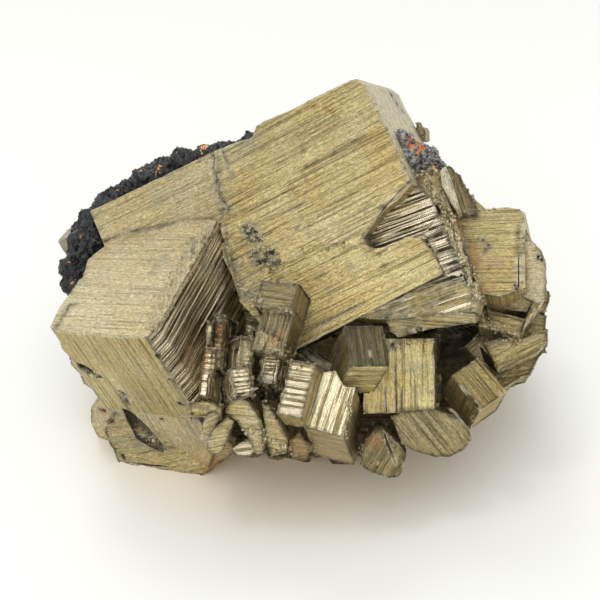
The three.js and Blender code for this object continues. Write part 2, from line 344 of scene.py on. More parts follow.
def on_face(axes, point):
    """Where a point of the view lies on the plane of a crystal's face."""
    inward = axes.inverted()
    near = inward @ place_seen(point, 0)
    far = inward @ place_seen(point, -VIEW_DISTANCE)
    spot = near.lerp(far, near.z / (near.z - far.z))
    return (spot.x, spot.y)


def ring_points(outline, step, rng, rough):
    """Points at equal steps round an outline, a little uneven, with their outward direction."""
    corners = np.array(outline)
    ends = np.roll(corners, -1, axis=0)
    if np.sum(corners[:, 0] * ends[:, 1] - corners[:, 1] * ends[:, 0]) < 0:
        corners = corners[::-1]
        ends = np.roll(corners, -1, axis=0)
    lengths = np.linalg.norm(ends - corners, axis=1)
    starts = np.concatenate([[0], np.cumsum(lengths)])
    total = starts[-1]
    count = max(12, int(total / step))
    places = np.arange(count) * total / count
    side = np.searchsorted(starts, places, side="right") - 1
    share = ((places - starts[side]) / lengths[side])[:, None]
    points = corners[side] * (1 - share) + ends[side] * share
    run = (ends - corners) / lengths[:, None]
    outward = np.stack([run[:, 1], -run[:, 0]], -1)[side]
    cycle = 2 * math.pi * places / total
    uneven = sum(np.sin(cycle * k + rng.uniform(0, 7)) / k ** 0.7 for k in range(9, 60, 6))
    points = points - outward * (rough * (0.4 + 0.2 * uneven).clip(0))[:, None]
    return points, outward, places, total


def ring_column(points, count):
    """Which of a cylinder's columns each of its points belongs to."""
    turn = np.arctan2(points[:, 1], points[:, 0]) / (2 * math.pi)
    return np.round(turn * count).astype(int) % count


def outlined_prism(outline, depth, swap, looks, rng):
    """A prism below an outline. The looks are those of its walls along both edges."""
    look, other = looks
    points, outward, places, total = ring_points(outline, look.get("wall", WALL), rng,
                                                 look.get("rough", 0.12))
    count = len(points)
    rows = max(3, int(depth / look.get("fine_wall", WALL)))
    deselect_all()
    bpy.ops.mesh.primitive_cylinder_add(vertices=count, radius=1, depth=1, end_fill_type="NGON")
    prism = bpy.context.object
    mesh = prism.data
    bpy.context.tool_settings.mesh_select_mode = (False, True, False)
    bpy.ops.object.mode_set(mode="EDIT")
    bpy.ops.mesh.select_all(action="DESELECT")
    bpy.ops.object.mode_set(mode="OBJECT")
    ends = read_points(mesh)
    for edge in mesh.edges:
        edge.select = bool(abs(ends[edge.vertices[0]][2] - ends[edge.vertices[1]][2]) > 0.5)
    bpy.ops.object.mode_set(mode="EDIT")
    bpy.ops.mesh.subdivide(number_cuts=rows - 1)
    bpy.ops.object.mode_set(mode="OBJECT")
    bpy.context.tool_settings.mesh_select_mode = (True, False, False)
    flat = read_points(mesh)
    column = ring_column(flat, count)
    down = (0.5 - flat[:, 2]) * (depth + 1.0) - 0.5
    # A wall that faces along the first edge has its strips along the second
    faces_first = (np.abs(outward[:, 0]) > np.abs(outward[:, 1]))[column]
    strips_run_round = faces_first != swap
    inward, groove_dirt_and_shade = np.zeros(len(flat)), np.zeros(len(flat))
    for wall, wall_look in ((faces_first, look), (~faces_first, other)):
        for group, across, along in (
            (wall & strips_run_round, down, places[column]),
            (wall & ~strips_run_round, places[column], down),
        ):
            if group.any():
                heights = strip_heights(across[group], along[group], rng, wall_look)
                inward[group], groove_dirt_and_shade[group] = heights
    body = points[column] + outward[column] * inward[:, None]
    write_points(mesh, np.stack([body[:, 0], body[:, 1], -down], -1))
    corners = corner_points(mesh)
    lengthwise = strips_run_round[corners]
    growth = np.where(lengthwise[:, None], np.stack([down, places[column]], -1)[corners],
                      np.stack([places[column], down], -1)[corners])
    gloss, tone = (np.where(faces_first[corners], look[key], other[key])
                   for key in ("gloss", "tone"))
    record_growth(mesh, growth, gloss, tone, groove_dirt_and_shade[corners], rng.uniform(*OFFSETS))
    return prism


# %% [markdown]
# ## Worn crystals
# The small crystals are rubbed and rounded. A voxel remesh gives them an even skin, a Smooth
# modifier takes the edges off, and the strips are pressed in again afterwards. The remesh drops
# what was kept on the face corners, so that is worked out anew from the way each face looks.

# %% Wearing a crystal down
def apply_modifier(body, kind, **settings):
    """Adds a modifier with these settings and applies it."""
    make_active(body)
    bpy.ops.object.modifier_add(type=kind)
    modifier = body.modifiers[-1]
    for setting, value in settings.items():
        setattr(modifier, setting, value)
    bpy.ops.object.modifier_apply(modifier=modifier.name)
    return body


def roughen(body, pattern, size, strength, middle=1.0, **settings):
    """Pushes the skin in by a pattern of the given size, or in and out round a lower middle."""
    texture = bpy.data.textures.new(body.name + "_" + pattern.lower(), pattern)
    texture.noise_scale = size
    for setting, value in settings.items():
        setattr(texture, setting, value)
    return apply_modifier(body, "DISPLACE", texture=texture, strength=strength, mid_level=middle,
                          texture_coords="LOCAL")


def wear_down(body, layout, looks, rng):
    """Rounds a crystal and presses its strips in again. It still lies in its own axes."""
    look = looks[0]
    apply_modifier(body, "REMESH", mode="VOXEL", voxel_size=look["wear"])
    apply_modifier(body, "SMOOTH", factor=0.5, iterations=look.get("rounding", 4))
    mesh = body.data
    points = read_points(mesh)
    normals = np.empty(3 * len(points), dtype=np.float32)
    mesh.vertex_normals.foreach_get("vector", normals)
    normals = normals.reshape(-1, 3)
    facing = np.abs(normals).argmax(axis=1)
    groove_dirt_and_shade = np.zeros(len(points))
    for (across_axis, along_axis, out_axis), face_look in zip(layout, looks):
        for sign in (-1, 1):
            group = (facing == out_axis) & (normals[:, out_axis] * sign > 0)
            if group.sum() < 8:
                continue
            flatness = np.clip((np.abs(normals[group, out_axis]) - 0.6) / 0.3, 0, 1)
            height, marks = strip_heights(points[group, across_axis].copy(),
                                          points[group, along_axis].copy(), rng, face_look)
            points[group, out_axis] += sign * height * flatness
            groove_dirt_and_shade[group] = marks * flatness
    write_points(mesh, points)
    roughen(body, "CLOUDS", 1.9, look.get("lumpy", 0.4))
    roughen(body, "CLOUDS", 0.55, look.get("grainy", 0.1))
    count = len(mesh.polygons)
    normals = np.empty(3 * count, dtype=np.float32)
    mesh.polygons.foreach_get("normal", normals)
    totals = np.empty(count, dtype=np.int32)
    mesh.polygons.foreach_get("loop_total", totals)
    facing = np.repeat(np.abs(normals.reshape(-1, 3)).argmax(axis=1), totals)
    corners = corner_points(mesh)
    spots = read_points(mesh)[corners]
    growth = np.zeros((len(corners), 2))
    gloss, tone = np.zeros(len(corners)), np.zeros(len(corners))
    for (across_axis, along_axis, out_axis), face_look in zip(layout, looks):
        chosen = facing == out_axis
        growth[chosen] = spots[chosen][:, (across_axis, along_axis)] + 7.3 * out_axis
        gloss[chosen], tone[chosen] = face_look["gloss"], face_look["tone"]
    record_growth(mesh, growth, gloss, tone, groove_dirt_and_shade[corners], rng.uniform(*OFFSETS))


# %% One whole crystal
LOOK = dict(spacing=0.55, depth=0.05, gloss=0.0, tone=1.0)


def build_crystal(name, spec, seed):
    """A crystal of the cluster in the specimen's frame, mm."""
    rng = np.random.default_rng(seed)
    looks = [dict(LOOK, **spec.get("look", {})) for _ in range(3)]
    for face, more in enumerate(spec.get("faces", ({}, {}, {}))):
        looks[face].update(more)
    swap = spec.get("swap", False)
    if "centre" in spec:
        turn = Euler([math.radians(angle) for angle in spec["turn"]], "XYZ")
        # three.js turns about X, then Y, then Z of the turning body, which is Blender's ZYX order
        matrix = (Matrix.Rotation(turn.x, 4, "X") @ Matrix.Rotation(turn.y, 4, "Y")
                  @ Matrix.Rotation(turn.z, 4, "Z"))
        centre = Vector(spec["centre"]) - Vector((MIDDLE[0], MIDDLE[1], 0))
        matrix.translation = centre
        high = [edge / 2 for edge in spec["size"]]
        low = [-edge for edge in high]
    else:
        axes = crystal_frame(spec["corner"], spec["toward"], spec["along"], spec["lean"])
        matrix = VIEW_TO_SPECIMEN @ axes
        if "outline" in spec:
            outline = [on_face(axes, point) for point in spec["outline"]]
            low = [min(p[k] for p in outline) for k in (0, 1)] + [-spec["depth"]]
            high = [max(p[k] for p in outline) for k in (0, 1)] + [0]
            if "plates" in spec:
                looks[0]["plates"] = [([on_face(axes, point) for point in plate], drop)
                                      for plate, drop in spec["plates"]]
        else:
            low = [0, 0, -spec["size"][2]]
            high = [spec["size"][0], spec["size"][1], 0]
    # across, along and outward axes of the front, the second and the third pair of faces
    if swap:
        layout = ((0, 1, 2), (1, 2, 0), (2, 0, 1))
    else:
        layout = ((1, 0, 2), (2, 1, 0), (0, 2, 1))
    body = growth_block(low, high, layout[0], looks[0], rng)
    if "outline" in spec:
        wall = outlined_prism(outline, spec["depth"], swap, looks[1:], rng)
        combine(body, wall, "INTERSECT")
    else:
        for axis in (1, 2):
            combine(body, growth_block(low, high, layout[axis], looks[axis], rng), "INTERSECT")
    if "wear" in looks[0]:
        wear_down(body, layout, looks, rng)
    body.name = name
    body.data.name = name
    body.data.transform(matrix)
    return body


# %% [markdown]
# ## The crystals, one by one
# Each entry gives the face's nearest corner in the view, how far it stands toward the eye, the
# angle of its first edge, how both edges lean away, and its three edge lengths. A broken crystal
# has a depth and the outline of its face instead. The look says how far apart and how deep the
# strips are, how glossy the faces are, which also sets how strongly painted reflection bands show
# on them, and their tone. The tone is partly the face's own brightness and partly painted light
# and shade: several faces are made lighter or darker for how they are lit. Faces changes the look
# of the front pair and the two other pairs, plates are lower growth plates on the front face and
# how deep they lie, and swap turns the strips to run down the front face. The hidden crystals on
# the back have a centre, a turn and a size in the specimen's own frame.

# %% The crystals' measures
def crystal(corner, toward, along, lean, **rest):
    """The measures of a crystal that shows in the view."""
    return dict(rest, corner=corner, toward=toward, along=along, lean=lean)


WORN = dict(wear=0.2, spacing=0.8, depth=0.05)
SMALL = dict(WORN, wear=0.15, gloss=0.15, lumpy=0.3, grainy=0.06)
RUBBLE = dict(WORN, wear=0.17, gloss=0.7, rounding=6, lumpy=1.0, grainy=0.06, depth=0.06, tone=1.3)
LUMPY = dict(WORN, lumpy=0.6)
CRYSTAL_GROUPS = {
    "great_crystals": dict(
        great_cube=crystal((363, 79), 4, 207, (14.2, -5.5), depth=23,
            outline=((357, 77), (350, 78), (320, 93), (290, 108), (262, 120), (255, 125),
                (250, 136), (228, 143), (214, 150), (217, 162), (214, 172), (219, 184), (217, 195),
                (223, 207), (221, 216), (218, 224), (225, 255), (230, 278), (238, 303), (262, 328),
                (297, 351), (304, 348), (447, 273), (411, 180), (400, 150), (385, 121), (372, 97),
                (366, 84)),
            # The front face is painted lighter toward its lower edge, as painted light.
            look=dict(spacing=0.9, depth=0.055, fine=0.11, coarse=0.5, rough=0.3, painted_light_below=0.45),
            faces=({}, dict(tone=1.1, gloss=-0.6, fine_wall=0.2), {}),
            plates=((((213, 150), (262, 118), (300, 100), (334, 112), (334, 155), (316, 166),
                (289, 177), (291, 190), (305, 195), (302, 206), (303, 215), (297, 230), (286, 243),
                (262, 262), (200, 262)), 0.14), (((160, 270), (262, 262), (291, 262), (313, 247),
                (340, 243), (362, 249), (378, 253), (402, 243), (440, 240), (470, 300), (300, 370)),
                0.16), (((395, 150), (420, 190), (362, 246), (327, 226), (336, 219), (361, 207),
                (392, 183)), 0.08), (((213, 240), (247, 238), (262, 250), (270, 262), (272, 284),
                (262, 300), (225, 300)), 0.22), (((300, 80), (372, 60), (380, 100), (350, 118),
                (318, 126)), 0.06))),
        shoulder_knob=crystal((417, 121), -16.5, 207, (14.2, -5.5), depth=4,
            outline=((415, 119), (420, 124), (425, 125), (427, 131), (427, 142), (420, 144),
                (412, 130)),
            look=dict(WORN, depth=0.01, tone=0.8, lumpy=0.6)),
        upper_spur=crystal((262, 222), -1.4, 207, (14.2, -5.5), size=(8, 12.5, 10)),
        long_bar=crystal((221, 147), -2.0, 204.3, (19, -4), size=(23.9, 10.5, 12),
            look=dict(spacing=1.0, depth=0.08, tone=1.1, gloss=-0.25)),
        small_block=crystal((301, 282), 6.5, 173, (22.7, -22), size=(6.4, 5, 6),
            look=dict(SMALL, tone=0.6, depth=0.05, ridged=0.12, spacing=0.7, lumpy=0.15)),
        small_block_foot=crystal((297, 309), 7, 173, (22.7, -22), size=(5.6, 7.6, 5), swap=True,
            look=dict(SMALL, tone=0.7, gloss=0.3, ridged=0.15)),
    ),
    "left_crystals": dict(
        left_cube=crystal((147, 336), 11, 178, (34.5, -33.4), depth=18,
            outline=((49, 327), (52, 331), (87, 335), (120, 338), (147, 337), (158, 325),
                (177, 291), (196, 259), (208, 237), (217, 220), (200, 216), (186, 218), (171, 223),
                (149, 227), (124, 232), (109, 237), (104, 246), (95, 252), (87, 259), (84, 271),
                (73, 287), (59, 306)),
            look=dict(spacing=0.8, depth=0.035, wall=0.4, fine_wall=0.12),
            faces=(dict(tone=1.3, gloss=-0.35), dict(gloss=0.75, ridged=0.2, tone=1.1),
                dict(depth=0.05, spacing=0.9))),
        back_left_cube=crystal((57, 241), -14, 301, (10, -11), size=(8, 8, 8),
            look=dict(gloss=-0.8, tone=0.75)),
        lower_left_face=crystal((147, 336), 10.8, 178, (34.5, 37.6), depth=6, swap=True,
            outline=((49, 329), (55, 340), (58, 350), (65, 357), (67, 367), (76, 375), (80, 386),
                (90, 392), (95, 399), (87, 409), (87, 423), (96, 442), (104, 454), (112, 466),
                (118, 477), (127, 484), (145, 486), (158, 490), (178, 490), (197, 483), (212, 469),
                (214, 440), (190, 400), (147, 337), (100, 334)),
            look=dict(WORN, wear=0.22, spacing=2.2, depth=0.05, rough=0.5, lumpy=0.3, grainy=0.15,
                tone=1.15, gloss=-0.35)),
        lower_left_mass=crystal((160, 395), -6.5, 190, (18, 22), depth=8,
            outline=((99, 430), (120, 400), (150, 395), (215, 415), (240, 455), (225, 466),
                (213, 476), (200, 482), (175, 487), (140, 483), (116, 468)),
            look=dict(WORN, wear=0.26, spacing=2.4, rough=0.5, lumpy=0.9, tone=1.0)),
    ),
    "right_crystals": dict(
        ridge_crystal=crystal((425, 183), 1.2, 200, (16.9, -19.1), depth=14,
            outline=((425, 183), (340, 214), (345, 315), (385, 319), (474, 311), (466, 280),
                (448, 232)),
            look=dict(spacing=0.6, depth=0.04, ridged=0.26, gloss=0.95, fine=0.07)),
        ridge_cover=crystal((425, 183), 1.35, 200, (16.9, -19.1), depth=3,
            outline=((340, 300), (396, 297), (420, 285), (452, 279), (468, 281), (479, 300),
                (475, 312), (430, 318), (385, 321), (345, 318)),
            look=dict(spacing=0.5, depth=0.08, ridged=0.05, fine=0.1)),
        ladder=crystal((425, 183), 1.6, 200, (16.9, -19.1), depth=3,
            outline=((423, 232), (441, 213), (455, 240), (470, 276), (446, 277)),
            look=dict(spacing=0.7, depth=0.04, ridged=0.4, gloss=0.95, fine=0.07)),
        ridge_foot=crystal((474, 310), 8.8, 176, (14, 6), depth=6,
            outline=((384, 320), (400, 317), (474, 308), (478, 316), (477, 325), (455, 328),
                (430, 331), (398, 340), (388, 332)),
            look=dict(SMALL, depth=0.04, lumpy=0.35, tone=0.95)),
        granular_ridge=crystal((425, 183), 1.9, 200, (16.9, -19.1), depth=4,
            outline=((409, 181), (418, 171), (430, 164), (439, 168), (446, 190), (454, 214),
                (467, 262), (479, 298), (472, 299), (462, 276), (441, 218), (436, 205), (424, 196)),
            look=dict(SMALL, lumpy=0.7, grainy=0.3, rough=0.3)),
        pale_bar_front=crystal((441, 166), 3.2, 200, (5, -10), depth=7, swap=True,
            outline=((438, 171), (441, 166), (447, 164), (452, 178), (461, 208), (456, 213),
                (449, 204), (441, 186)),
            look=dict(SMALL, tone=1.3, gloss=-0.6, lumpy=0.1)),
        pale_bar_back=crystal((446, 165), -4, 200, (5, -10), depth=8, swap=True,
            outline=((440, 166), (450, 163), (453, 165), (458, 170), (461, 172), (468, 186),
                (480, 207), (478, 216), (455, 216), (445, 180)),
            look=dict(SMALL, tone=0.7, lumpy=0.5)),
        right_cube=crystal((526, 210), -1.5, 181, (12.9, -28.1), depth=17,
            outline=((454, 213), (468, 210), (480, 208), (497, 207), (505, 206), (520, 208),
                (526, 212), (526, 288), (515, 292), (500, 297), (479, 294), (466, 252)),
            look=dict(spacing=0.6, depth=0.045, rough=0.2, tone=1.06)),
        right_shelf=crystal((527, 212), -1.8, 181, (-8, -22), depth=12,
            outline=((517, 209), (526, 212), (527, 225), (533, 238), (543, 248), (548, 260),
                (549, 280), (549, 297), (541, 306), (533, 301), (517, 294)),
            look=dict(WORN, wear=0.18, lumpy=0.35, grainy=0.12, depth=0.03, tone=1.15, gloss=-0.4)),
        right_wall=crystal((551, 300), -5, 178, (-3, 5), depth=9,
            outline=((535, 288), (551, 289), (554, 295), (553, 303), (549, 312), (549, 345),
                (538, 350), (520, 340), (525, 296)),
            look=LUMPY),
        under_block=crystal((527, 317), 2.0, 166, (18, -28), size=(6.8, 3.6, 8), look=SMALL),
        under_slab=crystal((500, 296), 2.2, 160, (10, 0), depth=6,
            outline=((482, 299), (500, 296), (531, 293), (533, 303), (527, 313), (512, 312),
                (490, 307)),
            look=dict(SMALL, tone=0.75)),
        upright_chip=crystal((535, 303), 2.5, 60, (0, -5), depth=5,
            outline=((530, 303), (536, 302), (541, 307), (534, 322), (524, 334), (519, 335),
                (524, 318)),
            look=dict(SMALL, tone=1.05)),
        lower_right_bar=crystal((549, 327), 2.5, 205, (-2, -12), depth=7,
            outline=((482, 341), (500, 335), (520, 338), (535, 330), (549, 326), (550, 343),
                (540, 352), (522, 362), (505, 370), (497, 374), (490, 357)),
            look=dict(WORN, wear=0.17, lumpy=0.45)),
        lower_right_rim=crystal((549, 345), -2.5, 190, (-4, -12), depth=8,
            outline=((549, 333), (549, 347), (541, 359), (533, 376), (523, 378), (515, 383),
                (508, 388), (500, 393), (488, 392), (492, 350)),
            look=dict(LUMPY, tone=0.85)),
        lower_right_foot=crystal((497, 386), 0, 42, (2, 4), size=(9.5, 8, 8),
            look=dict(WORN, tone=0.7)),
        ridged_cube=crystal((449, 375), 5.5, 309, (-15, 20), size=(7.2, 5.8, 8),
            look=dict(SMALL, depth=0.035, tone=0.85, gloss=0.0),
            faces=({}, {}, dict(tone=0.6, ridged=0.1))),
        rounded_block=crystal((474, 440), 4, 130, (-8, 0), depth=11,
            outline=((389, 417), (405, 410), (435, 408), (455, 414), (470, 427), (475, 440),
                (465, 452), (450, 459), (435, 459), (413, 453), (400, 445), (395, 430)),
            look=dict(WORN, wear=0.17, lumpy=0.4, depth=0.03, spacing=0.5, tone=0.78)),
        # Its high tone paints light onto a face that lies in shade under the ridge above it.
        centre_right_cube=crystal((435, 337), 4.0, 181, (8, -4), size=(11, 11.4, 9), swap=True,
            look=dict(spacing=0.7, depth=0.1, tone=1.7)),
        # A nearly black wall, tone 0.25, set in the gap behind these crystals as painted shade.
        gap_wall=crystal((500, 330), -5, 190, (5, -5), depth=9,
            outline=((500, 325), (420, 325), (425, 380), (432, 415), (478, 405), (500, 385)),
            look=dict(WORN, wear=0.3, lumpy=1.2, tone=0.25)),
    ),
    "lower_crystals": dict(
        # Its upper face's low tone paints the dark reflection it shows; its lower face's high tone
        # paints light into shade.
        centre_box=crystal((392, 367), 10.5, 98, (27.5, -15.8), size=(7, 6.4, 9.5),
            look=dict(SMALL, depth=0.05),
            faces=(dict(tone=0.36, gloss=0.2), dict(tone=1.5), dict(tone=0.8))),
        shaded_cube=crystal((335, 365), 1.5, 145, (20, 10), size=(6, 6, 6),
            look=dict(SMALL, gloss=0.6, tone=0.35, ridged=0.12)),
        rippled_bar=crystal((317, 362), 11, 172, (20, -20), size=(4.2, 8.8, 5),
            look=dict(SMALL, wear=0.12, gloss=0.65, depth=0.05, ridged=0.12, spacing=0.55,
                rounding=7, lumpy=0.2, grainy=0.01),
            faces=({}, dict(gloss=0.1, tone=0.95), dict(gloss=0.1))),
        # Its front face's high tone paints on the bright mirror image of the light above it.
        mirror_cube=crystal((345, 438), 12, 72, (19.7, 14), depth=13,
            outline=((345, 438), (357, 386), (345, 385), (336, 368), (322, 371), (303, 427)),
            look=dict(SMALL, wear=0.12, gloss=0.6, depth=0.04, ridged=0.05, spacing=0.7, lumpy=0.12,
                grainy=0.01, rounding=3),
            faces=(dict(tone=1.5), dict(tone=0.85, gloss=0.2), dict(tone=0.85, gloss=0.2))),
        notched_block=crystal((360, 445), 6, 60, (-8, -4), depth=9,
            outline=((372, 430), (384, 428), (400, 443), (409, 455), (406, 468), (400, 479),
                (388, 480), (372, 475), (359, 468), (360, 445)),
            look=dict(WORN, wear=0.17, lumpy=0.5, tone=0.65)),
        # A nearly black wall, tone 0.25, set behind the lower crystals as painted shade in the
        # cavity.
        cavity_wall=crystal((300, 400), 0, 180, (2, -5), depth=9,
            outline=((205, 330), (300, 345), (345, 330), (440, 330), (445, 400), (400, 443),
                (350, 450), (240, 446), (203, 420)),
            look=dict(LUMPY, tone=0.25)),
    ),
    "rubble_crystals": dict(
        rubble_plate=crystal((228, 312), 3.5, 178, (10, -8), size=(2.5, 9, 10),
            look=dict(RUBBLE, tone=0.6)),
        rubble_sliver=crystal((212, 318), 5.2, 178, (10, -8), size=(0.9, 4.4, 10), look=RUBBLE),
        rubble_column=crystal((216, 345), 6.2, 176, (15, -10), size=(2.4, 8.2, 10),
            look=dict(RUBBLE, lumpy=0.7)),
        rubble_rim=crystal((225, 399), 7.5, 177, (5, -50), size=(5.6, 2.2, 3),
            look=dict(RUBBLE, gloss=0.1, rounding=8)),
        rubble_head=crystal((257, 324), 6.5, 165, (15, -15), size=(1.9, 2.1, 10),
            look=dict(RUBBLE, gloss=0.6)),
        rubble_body=crystal((260, 336), 7, 170, (-15, -10), size=(3.1, 5.6, 10),
            look=dict(RUBBLE, gloss=0.4, tone=1.0)),
        rubble_gold=crystal((283, 342), 7.8, 176, (18, -18), size=(3.3, 6.6, 10), look=RUBBLE),
        rubble_low=crystal((253, 362), 8.3, 187, (-12, -10), size=(3.8, 5.4, 10), look=RUBBLE),
        rubble_tiny=crystal((266, 357), 7.5, 165, (25, -25), size=(1.3, 1.3, 10),
            look=dict(RUBBLE, gloss=0.6)),
        bottom_flake=crystal((222, 415), 8, 200, (5, 10), depth=7,
            outline=((198, 443), (200, 428), (207, 413), (214, 410), (223, 415), (217, 428),
                (210, 440)),
            look=SMALL),
        bottom_wedge=crystal((235, 423), 8.7, 190, (8, 10), depth=8,
            outline=((205, 440), (215, 426), (227, 416), (236, 421), (230, 438), (225, 452),
                (218, 458), (204, 452)),
            look=SMALL),
        bottom_hump=crystal((262, 425), 9.3, 175, (5, 12), depth=8,
            outline=((222, 412), (228, 402), (240, 396), (250, 402), (262, 420), (268, 440),
                (264, 456), (254, 457), (246, 440), (236, 424)),
            look=dict(SMALL, lumpy=0.5)),
        bottom_chip=crystal((250, 437), 7.5, 185, (5, 10), depth=7,
            outline=((230, 449), (240, 441), (250, 437), (258, 452), (250, 459), (236, 458)),
            look=dict(SMALL, gloss=0.6)),
        bottom_tooth=crystal((275, 415), 9.2, 170, (5, 8), depth=8,
            outline=((260, 402), (270, 404), (280, 420), (290, 440), (288, 455), (270, 459),
                (264, 444)),
            look=dict(SMALL, lumpy=0.5)),
        bottom_lump=crystal((300, 444), 6, 175, (5, 10), depth=7,
            outline=((286, 440), (300, 430), (314, 450), (308, 461), (290, 462)),
            look=LUMPY),
    ),
    "back_crystals": dict(
        back_cube=dict(centre=(9, 28, 24), turn=(18, -12, 24), size=(17, 15, 16)),
        back_right_cube=dict(centre=(23, 22, 15), turn=(-10, 22, -18), size=(14, 13, 14)),
        back_low_cube=dict(centre=(-2, 27, 12), turn=(25, 8, 40), size=(15, 14, 13)),
        back_small_cube=dict(centre=(23, 19, 27), turn=(30, 15, 10), size=(8, 8, 9)),
        back_bud_high=dict(centre=(1, 31, 33), turn=(40, 10, 20), size=(8, 7, 7)),
        back_bud_right=dict(centre=(30, 18, 20), turn=(20, 35, 10), size=(7, 7, 6)),
        back_bud_middle=dict(centre=(17, 34, 17), turn=(35, 20, 60), size=(7, 6, 7)),
        back_bud_low=dict(centre=(29, 25, 8), turn=(15, 40, 30), size=(7, 6, 6)),
        back_bud_top=dict(centre=(17, 26, 33), turn=(50, 15, 5), size=(6, 7, 5)),
        back_bud_base=dict(centre=(5, 34, 7), turn=(25, 35, 15), size=(8, 6, 6)),
        back_bud_left=dict(centre=(-9, 33, 8), turn=(10, 45, 35), size=(6, 6, 7)),
        back_chip_one=dict(centre=(12, 37, 24), turn=(30, 50, 20), size=(4, 3, 4)),
        back_chip_two=dict(centre=(22, 31, 12), turn=(60, 20, 40), size=(4, 5, 3)),
        back_chip_three=dict(centre=(26, 18, 31), turn=(15, 25, 55), size=(4, 4, 3)),
    ),
}
RECESS = (
    (411, 182), (400, 196), (385, 208), (373, 222), (362, 238), (365, 246), (372, 250), (385, 249),
    (398, 244), (406, 238), (420, 240), (432, 256), (444, 277), (475, 290), (450, 180),
)

# %% Building them
groups = {}
seed = 100
for group_name, specs in CRYSTAL_GROUPS.items():
    members = []
    for crystal_name, spec in specs.items():
        seed += 1
        crystal = build_crystal(crystal_name, spec, seed)
        if crystal_name == "great_cube":
            axes = crystal_frame(spec["corner"], spec["toward"], spec["along"], spec["lean"])
            outline = [on_face(axes, point) for point in RECESS]
            cutter = outlined_prism(outline, 30, False, (dict(LOOK, rough=0.1), LOOK),
                                    np.random.default_rng(5))
            cutter.data.transform(Matrix.Translation((0, 0, 2)))
            cutter.data.transform(VIEW_TO_SPECIMEN @ axes)
            combine(crystal, cutter, "DIFFERENCE")
        members.append(crystal)
    body = members[0]
    for other in members[1:]:
        combine(body, other, "UNION")
    body.name = body.data.name = group_name
    groups[group_name] = body
    print(group_name, len(body.data.polygons), "triangles")

# %% [markdown]
# ## The broken mass behind and below
# The cubes stand on massive pyrite that was broken out of the rock. It starts as the convex hull
# of a few corners, is remeshed into even small faces, and is then roughened by two Displace
# modifiers. Their middle level is set so that they only ever push inward.

# %% The broken mass
CORE_CORNERS = (
    (-17, -1, 0), (-8, -5, 0), (8, -6, 0), (18, 0, 0), (20, 12, 0), (13, 24, 0), (-4, 27, 0),
    (-16, 18, 0), (-22, 4, 10), (-10, -5, 11), (8, -7, 13), (22, -2, 16), (29, 8, 18), (24, 25, 12),
    (4, 34, 14), (-17, 28, 12), (-24, 16, 20), (-14, 8, 28), (6, 2, 30), (22, 6, 34), (14, 22, 38),
    (-8, 20, 38),
)


def plain_growth(body, gloss, tone):
    """Gives a skin without growth strips one gloss and tone, and lines that run level."""
    spots = read_points(body.data)[corner_points(body.data)]
    record_growth(body.data, spots[:, (2, 0)], gloss, tone, 0.0, 0.0)
    return body


deselect_all()
bpy.ops.mesh.primitive_ico_sphere_add(subdivisions=2, radius=1)
core = bpy.context.object
core.name = "broken_mass"
ball = read_points(core.data)
corners = np.array(CORE_CORNERS, dtype=float) - np.array([MIDDLE[0], MIDDLE[1], 0])
heart = corners.mean(axis=0)
# Every point of the ball goes out to the hull corner that lies furthest its way
reach = ((corners - heart) @ ball.T).argmax(axis=0)
write_points(core.data, corners[reach])
bpy.ops.object.mode_set(mode="EDIT")
bpy.ops.mesh.select_all(action="SELECT")
bpy.ops.mesh.remove_doubles(threshold=0.001)
bpy.ops.mesh.convex_hull()
bpy.ops.object.mode_set(mode="OBJECT")
apply_modifier(core, "REMESH", mode="VOXEL", voxel_size=0.6)
roughen(core, "CLOUDS", 6.0, 1.6)
roughen(core, "VORONOI", 2.2, 0.9)
roughen(core, "CLOUDS", 0.9, 0.35)
plain_growth(core, 0.25, 0.75)
print("broken mass:", len(core.data.polygons), "faces")
combine(groups["back_crystals"], core, "UNION")

# %% [markdown]
# ## The dark host rock
# The crust is a heap of rounded lumps that run into each other. Ico spheres are placed, joined by
# a voxel remesh, and roughened at three sizes: bulges, knobs and grains.

# %% The crust and the pocket
CRUST_LUMPS = (
    (80, 283, -12, 2.6), (84, 266, -13, 3.4), (87, 247, -14, 3.2), (95, 228, -15, 3.3),
    (112, 212, -15.5, 3.5), (134, 201, -15.5, 3.5), (150, 188, -14, 3.4), (168, 182, -13, 3.5),
    (186, 168, -12, 3.1), (204, 162, -12, 2.8), (224, 155, -11, 2.1),
)
BACK_LUMPS = (
    (-20, 26, 26, 8), (-10, 31, 21, 8.5), (-24, 20, 18, 8), (-14, 27, 29, 5.5), (-25, 19, 27, 5.5),
    (-6, 32, 29, 6), (-15, 30, 12, 7), (-27, 21, 27, 5), (-3, 35, 21, 5.5), (-22, 29, 19, 6),
    (-12, 34, 27, 5), (-8, 35, 15, 5.5), (-29, 13, 22, 4.5),
)
POCKET_LUMPS = ((402, 143, -0.5, 1.9), (407, 155, 0, 2.0), (416, 158, -2, 2.4), (427, 160, -4, 2.0),
                (436, 168, -5, 1.6), (412, 170, -1, 1.7))


def heap_of_lumps(name, lumps, voxel):
    """Overlapping balls joined into one skin."""
    deselect_all()
    balls = []
    for centre, radius in lumps:
        bpy.ops.mesh.primitive_ico_sphere_add(subdivisions=4, radius=radius, location=centre)
        balls.append(bpy.context.object)
    deselect_all()
    for piece in balls:
        piece.select_set(True)
    bpy.context.view_layer.objects.active = balls[0]
    bpy.ops.object.join()
    heap = bpy.context.object
    bpy.ops.object.transform_apply(location=True, rotation=True, scale=True)
    heap.name = heap.data.name = name
    return apply_modifier(heap, "REMESH", mode="VOXEL", voxel_size=voxel)


